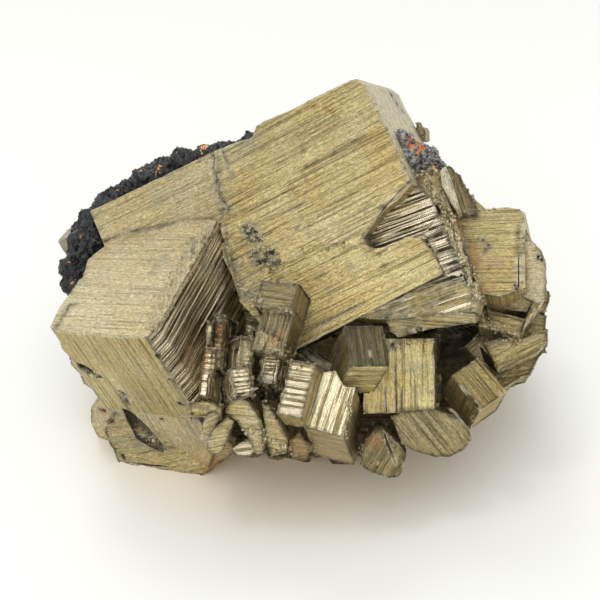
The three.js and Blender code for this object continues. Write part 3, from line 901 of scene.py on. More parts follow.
seen = [(VIEW_TO_SPECIMEN @ place_seen(lump[:2], lump[2]), lump[3]) for lump in CRUST_LUMPS]
hidden = [(Vector(lump[:3]) - Vector((MIDDLE[0], MIDDLE[1], 0)), lump[3]) for lump in BACK_LUMPS]
crust = heap_of_lumps("host_rock_crust", seen + hidden, 0.33)
roughen(crust, "CLOUDS", 2.6, 1.8, middle=0.5)
roughen(crust, "VORONOI", 1.3, 0.9, middle=0.45)
roughen(crust, "CLOUDS", 0.5, 0.9, middle=0.6)
pocket = heap_of_lumps(
    "pocket_rock", [(VIEW_TO_SPECIMEN @ place_seen(p[:2], p[2]), p[3]) for p in POCKET_LUMPS], 0.22)
roughen(pocket, "VORONOI", 0.8, 1.0, middle=0.5)
roughen(pocket, "CLOUDS", 0.35, 0.9, middle=0.55)
print("crust:", len(crust.data.polygons), "faces, pocket:", len(pocket.data.polygons), "faces")

# %% [markdown]
# ## Pits, cracks and grains
# Some marks are easiest to place by where they show. A ray from the eye finds the skin of the
# specimen there. Pits are cut by rough little balls and cracks by thin prisms that run along the
# line of sight. Bands of tiny cubes are set on the skin where the real one sparkles.

# %% Finding a seen place on the skin
def skin_of(bodies):
    """All faces of some bodies, ready for rays."""
    points, faces = [], []
    for body in bodies:
        start = len(points)
        points += [tuple(p) for p in read_points(body.data)]
        corners = corner_points(body.data)
        for face in body.data.polygons:
            first = face.loop_start
            faces.append([start + int(c) for c in corners[first:first + face.loop_total]])
    return BVHTree.FromPolygons(points, faces)


def seen_on(skin, point):
    """The place on the skin, and its outward direction, that shows at a point of the view."""
    toward_it = VIEW_TO_SPECIMEN @ place_seen(point, 0) - EYE
    place, outward, _, _ = skin.ray_cast(EYE, toward_it.normalized())
    return place, outward


skin = skin_of(groups.values())

# %% Pits and cracks
# Places of pits in the view, and their radius (mm)
PITS = {
    "great_crystals": ((246, 228, 0.6), (252, 233, 0.9), (259, 240, 0.6), (255, 255, 0.8),
        (263, 261, 1.1), (271, 253, 0.9), (276, 264, 0.6), (213, 156, 0.3), (218, 180, 0.35),
        (219, 191, 0.3), (229, 210, 0.35), (391, 95, 0.45), (397, 104, 0.4), (402, 111, 0.4),
        (303, 349, 0.5), (331, 337, 0.45), (362, 324, 0.4), (393, 305, 0.45), (430, 283, 0.5),
        (446, 271, 0.6), (425, 215, 0.4)),
    "left_crystals": ((81, 366, 0.8), (90, 372, 0.9), (97, 376, 0.5), (122, 393, 0.8),
        (127, 400, 0.8), (162, 419, 0.6), (123, 456, 0.7), (104, 410, 0.6), (112, 421, 0.5),
        (140, 470, 0.5), (108, 238, 0.5), (96, 250, 0.6), (85, 262, 0.5), (82, 276, 0.6),
        (180, 404, 0.6), (170, 380, 0.5), (158, 356, 0.5)),
    "right_crystals": ((538, 257, 0.5), (541, 260, 0.4), (543, 315, 0.8), (530, 308, 0.7),
        (483, 240, 0.3), (489, 245, 0.35), (486, 250, 0.25), (516, 287, 0.5), (478, 290, 0.5),
        (386, 318, 0.5), (420, 331, 0.6), (448, 328, 0.5), (473, 325, 0.4), (437, 338, 0.4),
        (393, 345, 0.5), (409, 338, 0.5), (437, 410, 0.4), (498, 372, 0.5)),
    "lower_crystals": ((392, 368, 0.4), (350, 366, 0.4), (344, 333, 0.4), (356, 388, 0.4),
        (303, 428, 0.4), (346, 437, 0.4), (388, 430, 0.7), (384, 436, 0.5)),
}
# Outlines of cracks in the view, and how deep they go (mm)
CRACKS = {
    "great_crystals": (
        (((213, 150), (215, 158), (214, 168), (218, 178), (216, 188), (222, 198), (228, 208),
          (221, 199), (215, 189), (217, 179), (213, 168), (214, 158)), 0.25),
        (((360, 240), (385, 206), (410, 180), (411, 181), (386, 207), (361, 241)), 0.3),
    ),
    "left_crystals": (
        (((122, 408), (132, 412), (148, 427), (167, 449), (163, 452), (148, 446), (136, 438),
          (129, 424)), 1.6),
        (((114, 459), (140, 463), (167, 466), (167, 467), (140, 465)), 0.3),
        (((76, 362), (86, 366), (104, 378), (95, 378), (82, 372)), 0.6),
    ),
    "lower_crystals": (
        (((384, 432), (388, 441), (392, 451), (397, 464), (395, 465), (390, 453), (386, 443)), 0.5),
    ),
    "right_crystals": (
        (((395, 352), (396.2, 350), (397, 412), (396, 412)), 0.15),
        (((385, 392), (386, 390), (387, 412), (386, 412)), 0.15),
        (((518, 211), (518.8, 211), (519.3, 285), (518, 291), (518, 284)), 0.1),
        (((492, 375), (484, 362), (479, 345), (484, 343), (491, 358), (498, 374)), 3.0),
        (((448, 374), (450, 373), (479, 406), (477, 408)), 0.2),
    ),
}


def rough_ball(point, radius):
    """A dented little ball, a bit more than half of it below the skin where there is one."""
    place, outward = seen_on(skin, point)
    if place is None:
        return None
    deselect_all()
    bpy.ops.mesh.primitive_ico_sphere_add(
        subdivisions=3, radius=radius, location=place - 0.1 * radius * outward,
        rotation=rng.uniform(0, 3, 3), scale=rng.uniform(0.6, 1.3, 3))
    ball = bpy.context.object
    bpy.ops.object.transform_apply(location=True, rotation=True, scale=True)
    return plain_growth(roughen(ball, "CLOUDS", 0.7 * radius, 1.8 * radius, middle=0.6), 0.3, 0.5)


ABOVE_SKIN = 4.0          # mm that a wedge reaches out of the skin


def crack_wedge(outline, depth):
    """A thin prism along the line of sight, below an outline in the view."""
    middle = [sum(p[k] for p in outline) / len(outline) for k in (0, 1)]
    place, _ = seen_on(skin, middle)
    if place is None:
        return None
    toward = (VIEW_TO_SPECIMEN.inverted() @ place).z
    count = len(outline)
    deselect_all()
    bpy.ops.mesh.primitive_cylinder_add(vertices=count, radius=1, depth=1, end_fill_type="NGON")
    wedge = bpy.context.object
    flat = read_points(wedge.data)
    column = ring_column(flat, count)
    for number, (index, height) in enumerate(zip(column, flat[:, 2])):
        reach = toward + ABOVE_SKIN if height > 0 else toward - depth
        flat[number] = VIEW_TO_SPECIMEN @ place_seen(outline[index], reach)
    write_points(wedge.data, flat)
    bpy.ops.object.mode_set(mode="EDIT")
    bpy.ops.mesh.select_all(action="SELECT")
    bpy.ops.mesh.normals_make_consistent(inside=False)
    bpy.ops.object.mode_set(mode="OBJECT")
    return plain_growth(wedge, 0.2, 0.4)


rng = np.random.default_rng(41)
for group_name, body in groups.items():
    tools = [rough_ball(pit[:2], pit[2]) for pit in PITS.get(group_name, ())]
    tools += [crack_wedge(outline, depth) for outline, depth in CRACKS.get(group_name, ())]
    tools = [tool for tool in tools if tool]
    if tools:
        for tool in tools[1:]:
            combine(tools[0], tool, "UNION")
        combine(body, tools[0], "DIFFERENCE")
    print(group_name, "pits and cracks:", len(tools))
skin = skin_of(groups.values())

# %% Bands of small grains
# Ends of a band in the view, its half width there, number of grains, and their size (mm)
BANDS = (
    ((209, 224), (184, 268), 8, 420, 0.3), ((184, 268), (148, 330), 9, 520, 0.3),
    ((430, 178), (452, 232), 7, 260, 0.34), ((452, 232), (480, 298), 6, 280, 0.34),
    ((440, 212), (462, 262), 4, 150, 0.30), ((415, 178), (436, 168), 8, 110, 0.34),
    ((245, 226), (262, 242), 6, 130, 0.34), ((254, 250), (278, 266), 8, 240, 0.38),
    ((235, 285), (262, 300), 6, 60, 0.30), ((300, 250), (345, 246), 4, 50, 0.26),
    ((372, 97), (408, 172), 1.5, 90, 0.24), ((262, 330), (300, 370), 10, 90, 0.4),
    ((350, 398), (345, 440), 4, 60, 0.3), ((480, 318), (520, 345), 9, 70, 0.36),
    ((50, 331), (148, 338), 1.2, 120, 0.2), ((238, 425), (300, 455), 8, 70, 0.36),
    ((470, 415), (480, 450), 5, 90, 0.28), ((258, 309), (292, 313), 2, 90, 0.28),
    ((135, 428), (166, 450), 4, 130, 0.34), ((82, 366), (98, 376), 3, 90, 0.3),
    ((120, 392), (130, 402), 3, 60, 0.3), ((250, 380), (280, 400), 9, 60, 0.34),
    ((398, 345), (438, 341), 2, 40, 0.22), ((455, 212), (505, 208), 1.5, 50, 0.24),
)
SUNK = 0.25               # how deep a grain sits, as a share of its size
deselect_all()
bpy.ops.mesh.primitive_cube_add(size=1)
grain = bpy.context.object
bpy.ops.object.mode_set(mode="EDIT")
bpy.ops.mesh.select_all(action="SELECT")
bpy.ops.mesh.bevel(offset=0.12, segments=1)
bpy.ops.object.mode_set(mode="OBJECT")
one_grain = read_points(grain.data)
one_faces = [tuple(face.vertices) for face in grain.data.polygons]
bpy.data.objects.remove(grain, do_unlink=True)

rng = np.random.default_rng(77)
grain_points, grain_faces = [], []
for start, end, half_width, count, size in BANDS:
    run = Vector((end[0] - start[0], end[1] - start[1]))
    sideways = Vector((-run.y, run.x)).normalized()
    for _ in range(count):
        share, aside = rng.uniform(), rng.normal(0, 0.5)
        point = (start[0] + run.x * share + sideways.x * aside * half_width,
                 start[1] + run.y * share + sideways.y * aside * half_width)
        place, outward = seen_on(skin, point)
        if place is None:
            continue
        turn = Euler(rng.uniform(0, math.pi, 3)).to_matrix()
        edge = size * rng.uniform(0.5, 1.3)
        stretch = np.array([1, 1, rng.uniform(0.6, 1.5)]) * edge
        middle = np.array(place - SUNK * edge * outward)
        body = (one_grain * stretch) @ np.array(turn).T + middle
        first = len(grain_points)
        grain_points += [tuple(p) for p in body]
        grain_faces += [[first + v for v in face] for face in one_faces]
grains_mesh = bpy.data.meshes.new("growth_grains")
grains_mesh.from_pydata(grain_points, [], grain_faces)
grains = bpy.data.objects.new("growth_grains", grains_mesh)
bpy.context.scene.collection.objects.link(grains)
corners = corner_points(grains_mesh)
record_growth(grains_mesh, read_points(grains_mesh)[corners][:, :2], 0.45, 0.85, 0.0, 3.0)
groups["growth_grains"] = grains
print("grains:", len(grain_faces) // len(one_faces))

# %% [markdown]
# ## Rubbed edges and painted shade in corners
# Edges that stick out are painted pale, partly as wear and partly as a painted highlight, and
# where two crystals meet the corner is painted dark as shade. Both are found from the angle
# between neighbouring faces, and spread a little way over the points round them.

# %% Rubbed edges and painted shade in corners
SHARP_OUT, SHARP_IN = math.cos(math.radians(52)), math.cos(math.radians(72))
# The pale spread from an edge is partly wear and partly painted highlight; the dark one is painted
# shade.
EDGE_SHEEN_REACH, SHADE_REACH = 0.22, 0.3      # mm that wear and dirt spread from an edge
# Painted shade: how dark a corner where two crystals meet is painted.
CORNER_SHADE = 0.6                         # how strong the dirt is in a corner


def sharp_points(mesh):
    """The points on edges that stick out sharply, and those on edges that turn sharply in."""
    faces, loops = len(mesh.polygons), len(mesh.loops)
    normals, centres = np.empty(3 * faces, np.float32), np.empty(3 * faces, np.float32)
    mesh.polygons.foreach_get("normal", normals)
    mesh.polygons.foreach_get("center", centres)
    normals, centres = normals.reshape(-1, 3), centres.reshape(-1, 3)
    totals, edge_of = np.empty(faces, np.int32), np.empty(loops, np.int32)
    ends = np.empty(2 * len(mesh.edges), np.int32)
    mesh.polygons.foreach_get("loop_total", totals)
    mesh.loops.foreach_get("edge_index", edge_of)
    mesh.edges.foreach_get("vertices", ends)
    face_of = np.repeat(np.arange(faces), totals)
    order = np.argsort(edge_of, kind="stable")
    edges, sides = edge_of[order], face_of[order]
    pair = np.flatnonzero(edges[1:] == edges[:-1])
    one, two = sides[pair], sides[pair + 1]
    turn = (normals[one] * normals[two]).sum(1)
    outward = ((centres[two] - centres[one]) * normals[one]).sum(1) < 0
    ends = ends.reshape(-1, 2)
    return [np.unique(ends[edges[pair[chosen]]])
            for chosen in ((turn < SHARP_OUT) & outward, (turn < SHARP_IN) & ~outward)]


def nearness(points, marked, reach):
    """How near each point is to the nearest marked one, from 1 on it to 0 far away."""
    if not len(marked):
        return np.zeros(len(points))
    tree = KDTree(len(marked))
    for number, place in enumerate(points[marked]):
        tree.insert(place, number)
    tree.balance()
    away = np.array([tree.find(place)[2] for place in points])
    return np.exp(-(away / reach) ** 2)


# %% [markdown]
# ## Stains and painted shade
# Iron stain and grey-blue tarnish sit in certain places, and pits, gaps, seams and inner corners
# are painted nearly black as shade. Their strength is kept on the points of the mesh as a colour
# attribute: red for rust, green for tarnish, blue for painted shade, and alpha for rubbed edges,
# which are partly wear and partly painted highlight.

# %% Stains and painted shade
RUST, TARNISHED, PAINTED_SHADE, RUBBED_AND_LIT = range(4)
# Places of stains and of painted shade in the view, their radius (mm) and strength
STAINS_AND_SHADE = {
    RUST: ((459, 222, 1.2, 0.7), (464, 236, 1.3, 0.8), (468, 250, 1.4, 0.9), (472, 264, 1.4, 1.0),
        (476, 279, 1.3, 1.0), (480, 290, 1.0, 0.6), (212, 468, 2.2, 0.8), (228, 462, 2.2, 0.9),
        (238, 458, 1.6, 0.8), (298, 452, 1.6, 0.8), (103, 410, 0.8, 1.0), (111, 421, 0.8, 0.7),
        (131, 415, 1.3, 1.0), (140, 422, 1.2, 0.9), (275, 338, 1.1, 0.8), (268, 340, 0.8, 0.6),
        (376, 440, 1.2, 0.5), (84, 366, 0.4, 0.8), (190, 350, 2.0, 0.5), (218, 345, 2.0, 0.6),
        (222, 330, 1.5, 0.6), (203, 360, 2.4, 0.4), (441, 178, 0.7, 0.5)),
    TARNISHED: ((245, 290, 3.2, 0.9), (232, 268, 2.0, 0.9), (430, 392, 0.9, 1.0),
        (250, 140, 2.0, 0.5), (496, 340, 1.5, 0.9), (395, 100, 3.5, 0.6), (330, 290, 1.6, 0.4),
        (368, 244, 1.0, 0.8), (395, 345, 0.7, 0.8), (222, 190, 1.6, 0.6), (140, 440, 2.4, 0.5),
        (445, 175, 1.6, 0.5), (160, 200, 1.4, 0.3), (110, 295, 2.0, 0.2), (475, 215, 1.3, 0.6),
        (152, 440, 1.6, 0.9), (257, 258, 1.6, 0.9), (268, 258, 1.6, 0.9), (252, 232, 1.4, 0.9),
        (487, 312, 0.9, 1.0), (450, 180, 1.0, 0.5), (496, 265, 1.0, 0.4), (125, 440, 2.2, 0.4),
        (120, 420, 2.0, 0.4)),
    # Painted shade in pits, gaps and cavities.
    PAINTED_SHADE: ((247, 229, 0.5, 0.9), (257, 240, 0.5, 0.9), (256, 254, 0.6, 0.9), (264, 262, 0.7, 0.9),
        (275, 262, 0.6, 0.8), (82, 366, 0.8, 1.0), (92, 373, 0.9, 1.0), (122, 394, 0.8, 1.0),
        (127, 401, 0.8, 1.0), (391, 95, 0.6, 1.0), (397, 104, 0.5, 1.0), (402, 111, 0.5, 1.0),
        (123, 456, 0.6, 0.6), (160, 446, 0.9, 0.7), (235, 330, 1.5, 1.0), (236, 350, 1.5, 1.0),
        (262, 380, 1.6, 1.0), (268, 395, 1.2, 0.9), (200, 418, 1.0, 1.0), (240, 436, 1.2, 1.0),
        (288, 428, 1.0, 1.0), (378, 425, 1.8, 1.0), (338, 350, 1.5, 0.9), (345, 335, 1.2, 0.9),
        (455, 350, 2.0, 0.8), (487, 358, 1.3, 1.0), (492, 370, 1.1, 1.0), (470, 335, 2.0, 1.0),
        (480, 335, 1.2, 0.9), (488, 246, 0.6, 0.8), (538, 257, 0.5, 1.0), (542, 259, 0.4, 1.0),
        (530, 309, 0.7, 1.0), (544, 314, 0.8, 0.9), (372, 246, 1.2, 1.0), (383, 208, 0.6, 0.9),
        (440, 332, 2.0, 0.9), (410, 333, 1.5, 0.9)),
}
# Painted shadow in the seams between crystals: lines in the view, marked with a spot every few
# units
SEAM_SHADOWS = (
    ((105, 241), (124, 233), (149, 228), (171, 224), (186, 219), (213, 219)),
    ((213, 150), (216, 166), (217, 182), (221, 196), (230, 210)),
    ((518, 211), (519, 250), (519, 290)), ((466, 252), (480, 294), (500, 297), (516, 292)),
    ((147, 338), (160, 360), (175, 385), (190, 412)), ((297, 351), (340, 330), (385, 319)),
    ((262, 300), (262, 328), (297, 351)), ((411, 180), (385, 207), (361, 240)),
    ((436, 206), (448, 240), (462, 276)), ((385, 320), (398, 340), (450, 329), (477, 325)),
    ((225, 226), (232, 262), (240, 300)), ((400, 412), (437, 409), (470, 425)),
)
SEAM_STEP, SEAM_RADIUS, SEAM_STRENGTH = 3.0, 0.32, 0.9


FAINT = 3                 # a stain is too faint to see this many radii away


def paint_stains_and_shade(body, spots):
    """Keeps painted shade, rubbed and painted-pale edges, and stains on the points of a piece."""
    points = read_points(body.data)
    rubbed_and_lit, corners_in = sharp_points(body.data)
    levels = np.zeros((len(points), 4), dtype=np.float32)
    # Inner corners where crystals meet get painted shade.
    levels[:, PAINTED_SHADE] = CORNER_SHADE * nearness(points, corners_in, SHADE_REACH)
    # Outer edges are painted pale, partly as wear and partly as a painted highlight.
    levels[:, RUBBED_AND_LIT] = nearness(points, rubbed_and_lit, EDGE_SHEEN_REACH)
    for place, radius, strength, kind in spots:
        close = np.flatnonzero(np.abs(points - np.array(place)).max(axis=1) < FAINT * radius)
        away = np.linalg.norm(points[close] - np.array(place), axis=1) / radius
        levels[close, kind] = np.maximum(levels[close, kind], strength * np.exp(-away ** 2))
    layer = body.data.attributes.new("stains_and_shade", "FLOAT_COLOR", "POINT")
    layer.data.foreach_set("color", levels.ravel())


spots = []
for kind, marks in STAINS_AND_SHADE.items():
    for across, down, radius, strength in marks:
        place, _ = seen_on(skin, (across, down))
        if place is not None:
            spots.append((place, radius, strength, kind))
for seam in SEAM_SHADOWS:
    for (x1, y1), (x2, y2) in zip(seam, seam[1:]):
        steps = max(1, round(math.hypot(x2 - x1, y2 - y1) / SEAM_STEP))
        for step in range(steps):
            share = step / steps
            place, _ = seen_on(skin, (x1 + (x2 - x1) * share, y1 + (y2 - y1) * share))
            if place is not None:
                spots.append((place, SEAM_RADIUS, SEAM_STRENGTH, PAINTED_SHADE))
for body in groups.values():
    paint_stains_and_shade(body, spots)
print("stains:", len(spots))

# %% [markdown]
# ## Pyrite finish
# Fresh pyrite is a pale brass metal. Most faces here are dull, because they are covered in fine
# growth grain, and only the sheltered faces still shine. The finish is one metal shader. Its
# pattern of fine lines follows the strips, whose place was kept on every face corner.

# %% Helpers for node materials
def new_material(name):
    """A material that holds one metal or rock shader and no pattern yet."""
    material = bpy.data.materials.new(name)
    material.use_nodes = True
    nodes, links = material.node_tree.nodes, material.node_tree.links
    nodes.clear()
    output = nodes.new("ShaderNodeOutputMaterial")
    shader = nodes.new("ShaderNodeBsdfPrincipled")
    links.new(shader.outputs["BSDF"], output.inputs["Surface"])
    return material, nodes, links, shader


class Board:
    """Short ways to add and join nodes."""

    def __init__(self, nodes, links):
        self.nodes, self.links = nodes, links

    def put(self, socket, value):
        if hasattr(value, "is_output"):
            self.links.new(value, socket)
        else:
            socket.default_value = value

    def add(self, kind, inputs=(), **settings):
        node = self.nodes.new(kind)
        for setting, value in settings.items():
            setattr(node, setting, value)
        for key, value in dict(inputs).items():
            self.put(node.inputs[key], value)
        return node

    def noise(self, vector, scale, detail=2.0, rough=0.5):
        return self.add("ShaderNodeTexNoise", {"Vector": vector, "Scale": scale, "Detail": detail,
                                               "Roughness": rough}).outputs["Fac"]

    def span(self, value, low, high, to_low=0.0, to_high=1.0):
        return self.add("ShaderNodeMapRange", {
            "Value": value, "From Min": low, "From Max": high,
            "To Min": to_low, "To Max": to_high}).outputs["Result"]

    def blend(self, share, first, second, mode="MIX"):
        node = self.add("ShaderNodeMix", data_type="RGBA", blend_type=mode)
        self.put(node.inputs["Factor"], share)
        self.put(node.inputs["A"], first)
        self.put(node.inputs["B"], second)
        return node.outputs["Result"]

    def math(self, operation, first, second=0.0):
        node = self.add("ShaderNodeMath", operation=operation)
        self.put(node.inputs[0], first)
        self.put(node.inputs[1], second)
        return node.outputs["Value"]

    def bump(self, height, distance, normal=None, strength=1.0):
        node = self.add("ShaderNodeBump", {"Height": height, "Distance": distance,
                                           "Strength": strength})
        if normal is not None:
            self.put(node.inputs["Normal"], normal)
        return node.outputs["Normal"]


# %% The pyrite material
BRASS = (0.50, 0.41, 0.195, 1)
BRASS_PALE = (0.60, 0.52, 0.295, 1)
BRASS_WARM = (0.57, 0.42, 0.172, 1)
PAINTED_REFLECTION_DARK = (0.05, 0.043, 0.028, 1)
PAINTED_REFLECTION_BRIGHT = (0.90, 0.81, 0.62, 1)
RUBBED_EDGE_SHEEN = (0.72, 0.66, 0.47, 1)
TARNISH = (0.24, 0.27, 0.27, 1)
IRON_STAIN = (0.46, 0.22, 0.06, 1)
GROOVE_DIRT_AND_SHADE = (0.13, 0.105, 0.055, 1)
DUSTY = (0.62, 0.59, 0.48, 1)
SHADE_BLACK = (0.010, 0.010, 0.009, 1)

pyrite, nodes, links, shader = new_material("pyrite")
board = Board(nodes, links)
place = board.add("ShaderNodeTexCoord").outputs["Object"]
growth = board.add("ShaderNodeUVMap", uv_map="growth").outputs["UV"]
gloss, tone, groove_dirt_and_shade = (board.add("ShaderNodeAttribute", attribute_name=name).outputs["Fac"]
                     for name in ("gloss", "tone", "groove_dirt_and_shade"))
painted = board.add("ShaderNodeAttribute", attribute_name="stains_and_shade").outputs
stain_and_shade = board.add("ShaderNodeSeparateColor", {"Color": painted["Color"]}).outputs


def stretched(scale):
    """The growth pattern's own place, stretched along the strips."""
    return board.add("ShaderNodeMapping", {"Vector": growth, "Scale": scale}).outputs["Vector"]


def shade(value):
    """A grey of this brightness, to multiply a colour by."""
    return board.add("ShaderNodeCombineColor",
                     {"Red": value, "Green": value, "Blue": value}).outputs["Color"]


fine_lines = board.noise(stretched((3.1, 0.07, 1)), 1.0, detail=3.0, rough=0.6)
broad_lines = board.noise(stretched((1.15, 0.035, 1)), 1.0)
dashes = board.noise(stretched((4.5, 1.2, 1)), 1.0, detail=3.0, rough=0.7)
painted_reflection_lines = board.noise(stretched((2.1, 0.06, 1)), 1.0, detail=2.0, rough=0.6)
grain = board.noise(place, 4600.0, detail=2.0, rough=0.8)
speckle = board.noise(place, 1900.0, detail=3.0, rough=0.75)
clouding = board.noise(place, 150.0, detail=4.0, rough=0.65)
warmth = board.noise(place, 110.0, detail=3.0, rough=0.6)
patches = board.noise(place, 95.0, detail=6.0, rough=0.62)
blotch = board.noise(place, 700.0, detail=4.0, rough=0.7)

colour = board.blend(board.span(clouding, 0.35, 0.65), BRASS, BRASS_PALE)
colour = board.blend(board.span(warmth, 0.45, 0.62, 0.0, 0.6), colour, BRASS_WARM)
colour = board.blend(board.span(gloss, 0.0, -1.0), colour, DUSTY)
lined = board.span(gloss, 0.0, -0.4, 1.0, 0.4)
# Each face's tone multiplies the colour here, and on several faces this paints light and shade.
for share, brightness in (
    (lined, board.span(fine_lines, 0.36, 0.52, 0.52, 1.10)),
    (lined, board.span(broad_lines, 0.33, 0.42, 0.62, 1.02)),
    (1.0, board.span(grain, 0.32, 0.68, 0.74, 1.26)),
    (1.0, board.span(dashes, 0.38, 0.62, 0.76, 1.24)),
    (1.0, tone),
):
    colour = board.blend(share, colour, shade(brightness), "MULTIPLY")
# The narrow grooves are darkened, partly as dirt and partly as painted shade in the creases.
colour = board.blend(board.math("MULTIPLY", groove_dirt_and_shade, 0.2), colour, GROOVE_DIRT_AND_SHADE)
# Painted reflection: glossy faces get dark and bright bands along the strips, as if mirroring the
# room.
painted_reflection = board.blend(board.span(painted_reflection_lines, 0.44, 0.54), PAINTED_REFLECTION_DARK, PAINTED_REFLECTION_BRIGHT)
colour = board.blend(gloss, colour, board.blend(1.0, painted_reflection, shade(tone), "MULTIPLY"))
tarnished = board.math("MAXIMUM", board.span(patches, 0.60, 0.70, 0.0, 0.45),
                       board.math("MULTIPLY", stain_and_shade["Green"], board.span(blotch, 0.35, 0.6)))
colour = board.blend(tarnished, colour, TARNISH)
# Rubbed edges are painted pale, partly as wear and partly as a painted highlight.
rubbed_and_lit = board.math("MULTIPLY", painted["Alpha"], board.span(blotch, 0.34, 0.54, 0.0, 0.9))
colour = board.blend(rubbed_and_lit, colour, RUBBED_EDGE_SHEEN)
rusty = board.math("MULTIPLY", stain_and_shade["Red"], board.span(blotch, 0.32, 0.58))
colour = board.blend(rusty, colour, IRON_STAIN)
# Pits, gaps, seams and inner corners are painted nearly black as shade.
shade_share = board.math("MULTIPLY", stain_and_shade["Blue"], board.span(blotch, 0.68, 0.46))
colour = board.blend(shade_share, colour, SHADE_BLACK)
board.put(shader.inputs["Base Color"], colour)
covered = board.math("MAXIMUM", rusty, shade_share)
board.put(shader.inputs["Metallic"], board.span(covered, 0.0, 1.0, 1.0, 0.15))
dull = board.span(clouding, 0.3, 0.7, 0.36, 0.46)
board.put(shader.inputs["Roughness"],
          board.math("MULTIPLY", dull, board.span(gloss, 0.0, 1.0, 1.0, 0.30)))
normal = board.bump(broad_lines, 0.00050)
normal = board.bump(fine_lines, 0.00038, normal)
normal = board.bump(dashes, 0.00038, normal, board.span(gloss, 0.0, 1.0, 0.9, 0.15))
normal = board.bump(speckle, 0.00022, normal, board.span(gloss, 0.0, 1.0, 0.9, 0.10))
normal = board.bump(grain, 0.00010, normal, board.span(gloss, 0.0, 1.0, 1.0, 0.06))
board.put(shader.inputs["Normal"], normal)

# %% [markdown]
# ## Rock finishes
# The host rock is nearly black, with a slight blue sheen on its grains and a few copper-red
# specks. The specks are where a noise pattern is highest.

# %% The rock materials
def rock_material(name, dark, light, speck, speck_from, scales):
    """A mottled, grainy rock. Specks show where their noise pattern is above speck_from."""
    mottle_scale, grain_scale = scales
    material, nodes, links, shader = new_material(name)
    board = Board(nodes, links)
    place = board.add("ShaderNodeTexCoord").outputs["Object"]
    body = board.noise(place, mottle_scale, detail=5.0, rough=0.7)
    cells = board.add("ShaderNodeTexVoronoi", {"Vector": place, "Scale": grain_scale}).outputs
    fine = board.noise(place, 4200.0, detail=3.0, rough=0.7)
    colour = board.blend(board.span(body, 0.38, 0.68), dark, light)
    spots = board.noise(place, 430.0, detail=4.0, rough=0.7)
    share = board.span(spots, speck_from, speck_from + 0.02)
    board.put(shader.inputs["Base Color"], board.blend(share, colour, speck))
    board.put(shader.inputs["Metallic"], board.math("MULTIPLY", share, 0.8))
    board.put(shader.inputs["Roughness"], board.span(fine, 0.3, 0.7, 0.12, 0.38))
    normal = board.bump(cells["Distance"], 0.0006)
    board.put(shader.inputs["Normal"], board.bump(fine, 0.00010, normal))
    return material


host_rock = rock_material("host_rock", (0.004, 0.0045, 0.005, 1), (0.040, 0.043, 0.048, 1),
                          (0.82, 0.42, 0.20, 1), 0.625, (420.0, 1300.0))
# In the pocket the near-white mottle is painted glints and the black between it is painted shade.
pocket_rock = rock_material("pocket_rock", (0.006, 0.006, 0.008, 1), (0.85, 0.83, 0.80, 1),
                            (0.95, 0.33, 0.12, 1), 0.60, (1500.0, 2600.0))

# %% [markdown]
# ## Finishing every piece
# The lowest crystals are cut level where the specimen stands. Every piece is then made small, and
# takes its finish. It rides on the one body there is, and stands for a node of the measured model.

# %% Finishing every piece
INSIDE = 0.01             # mm that every point stays inside the measured box


def finish_piece(body, material, node):
    """Keeps a piece inside the measured box, and gives it its size, finish and place."""
    low, high = (np.array(corner) / MM for corner in cad_box)
    write_points(body.data, np.clip(read_points(body.data), low + INSIDE, high - INSIDE))
    body.data.transform(Matrix.Scale(MM, 4))
    body.data.materials.clear()
    body.data.materials.append(material)
    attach(body, "root")
    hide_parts(node)
    print(body.name, len(body.data.polygons), "faces")


def cut_below_rest(body):
    """Cuts away what lies below the surface that the specimen rests on."""
    deselect_all()
    bpy.ops.mesh.primitive_cube_add(size=1, scale=(200, 200, 40), location=(0, 0, -20))
    bpy.ops.object.transform_apply(location=True, rotation=True, scale=True)
    return combine(body, plain_growth(bpy.context.object, 0.0, 0.7), "DIFFERENCE")


for body in groups.values():
    cut_below_rest(body)
    finish_piece(body, pyrite, "pyrite_cluster")
for body, material, slot, node in ((crust, host_rock, "host_rock", "dark_matrix"),
                                   (pocket, pocket_rock, "pocket_rock", "pocket_matrix")):
    bpy.context.view_layer.update()
    make_active(body)
    bpy.ops.object.shade_smooth()
    finish_piece(body, material, node)

# %% [markdown]
# ## Floor and light
# The specimen stands on a plain white sheet. Its colour is painted darker toward the front and the
# back, as painted shade, and warmer close to the stone, as painted bounce light from the brass. A
# soft key light comes from the back left. A small one high on the left gives the shining faces
# their glints.

# %% Floor and light
deselect_all()
bpy.ops.mesh.primitive_plane_add(size=4)
floor = bpy.context.object
floor.name = "studio_floor"
paper, nodes, links, shader = new_material("paper_white")
board = Board(nodes, links)
place = board.add("ShaderNodeTexCoord").outputs["Object"]
toward_front = board.add("ShaderNodeSeparateXYZ", {"Vector": place}).outputs["Y"]
fibre = board.noise(place, 900.0, detail=3.0)
near_shape = board.add("ShaderNodeMapping", {"Vector": place, "Scale": (0.9, 1.0, 1.0)}).outputs
distance = board.add("ShaderNodeVectorMath", {0: near_shape["Vector"]}, operation="LENGTH").outputs
PAPER, PAPER_PAINTED_DIM, PAPER_PAINTED_BOUNCE = (0.90, 0.90, 0.885, 1), (0.80, 0.80, 0.78, 1), (0.95, 0.80, 0.60, 1)
# Painted shade: the paper is painted darker toward the front and the back.
paper_colour = board.blend(board.span(toward_front, -0.03, -0.13), PAPER, PAPER_PAINTED_DIM)
paper_colour = board.blend(board.span(toward_front, 0.03, 0.12), paper_colour, PAPER_PAINTED_DIM)
# Painted bounce light: the paper is painted warmer close to the stone.
paper_colour = board.blend(board.span(distance["Value"], 0.016, 0.036, 0.9, 0.0), paper_colour,
                           PAPER_PAINTED_BOUNCE)
board.put(shader.inputs["Base Color"], paper_colour)
board.put(shader.inputs["Roughness"], board.span(fibre, 0.3, 0.7, 0.85, 0.95))
floor.data.materials.append(paper)


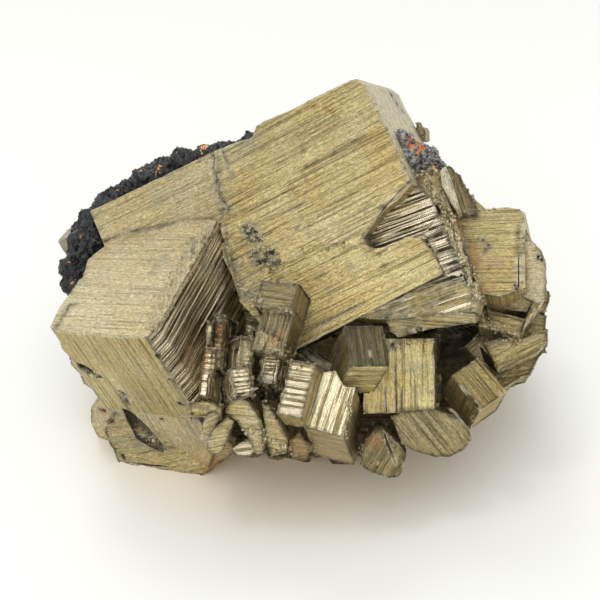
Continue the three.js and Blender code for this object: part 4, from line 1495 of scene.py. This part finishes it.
def soft_light(name, place, size, watts, colour=(1, 1, 1)):
    """A square soft light that faces the specimen."""
    bpy.ops.object.light_add(type="AREA", location=place)
    lamp = bpy.context.object
    lamp.name = name
    lamp.data.size = size
    lamp.data.energy = watts
    lamp.data.color = colour
    aim = Vector((0, 0, 0.025)) - Vector(place)
    lamp.rotation_euler = aim.to_track_quat("-Z", "Y").to_euler()
    return lamp


soft_light("key_light", (-0.45, 1.20, 1.54), 0.7, 7.5, (0.94, 0.98, 1.0))
soft_light("glint_light", (-0.21, -0.05, 0.77), 0.10, 0.4, (1.0, 0.985, 0.95))
bpy.context.scene.view_settings.view_transform = "Standard"

# %% [markdown]
# ## The room
# Metal shows what is round it. The room is bright, and a large soft patch high in front on the
# left is brightest. The left and the right are dimmer, which gives the strips their dark flanks.

# %% The room
world = bpy.data.worlds.new("pale_room")
bpy.context.scene.world = world
world.use_nodes = True
board = Board(world.node_tree.nodes, world.node_tree.links)
direction = board.add("ShaderNodeTexCoord").outputs["Generated"]
axis = board.add("ShaderNodeSeparateXYZ", {"Vector": direction}).outputs
room = board.span(axis["Y"], 0.2, 0.8, 0.86, 1.01)


def patch_of_room(light, azimuth, elevation, edge, middle, strength):
    """Adds light round a direction: nothing at the patch's edge, all of it in its middle."""
    turn, rise = math.radians(azimuth), math.radians(elevation)
    centre = (math.sin(turn) * math.cos(rise), -math.cos(turn) * math.cos(rise), math.sin(rise))
    facing = board.add("ShaderNodeVectorMath", {0: direction, 1: centre}, operation="DOT_PRODUCT")
    share = board.span(facing.outputs["Value"], edge, middle, 0.0, strength)
    return board.math("ADD", light, share)


# Azimuth from the front, positive to the right, elevation, the patch's edge and middle, strength
for patch in (
    (-35, 50, 0.72, 0.92, 0.70), (0, 90, 0.80, 0.95, 0.38), (5, 15, 0.80, 0.97, 0.35),
    (110, 40, 0.50, 0.90, -0.22), (-100, 30, 0.60, 0.90, -0.32),
):
    room = patch_of_room(room, *patch)
backdrop = world.node_tree.nodes["Background"]
board.put(backdrop.inputs["Color"], board.add("ShaderNodeCombineColor", {
    "Red": room, "Green": board.math("MULTIPLY", room, 0.995),
    "Blue": board.math("MULTIPLY", room, 0.965)}).outputs["Color"])
backdrop.inputs["Strength"].default_value = 1.0
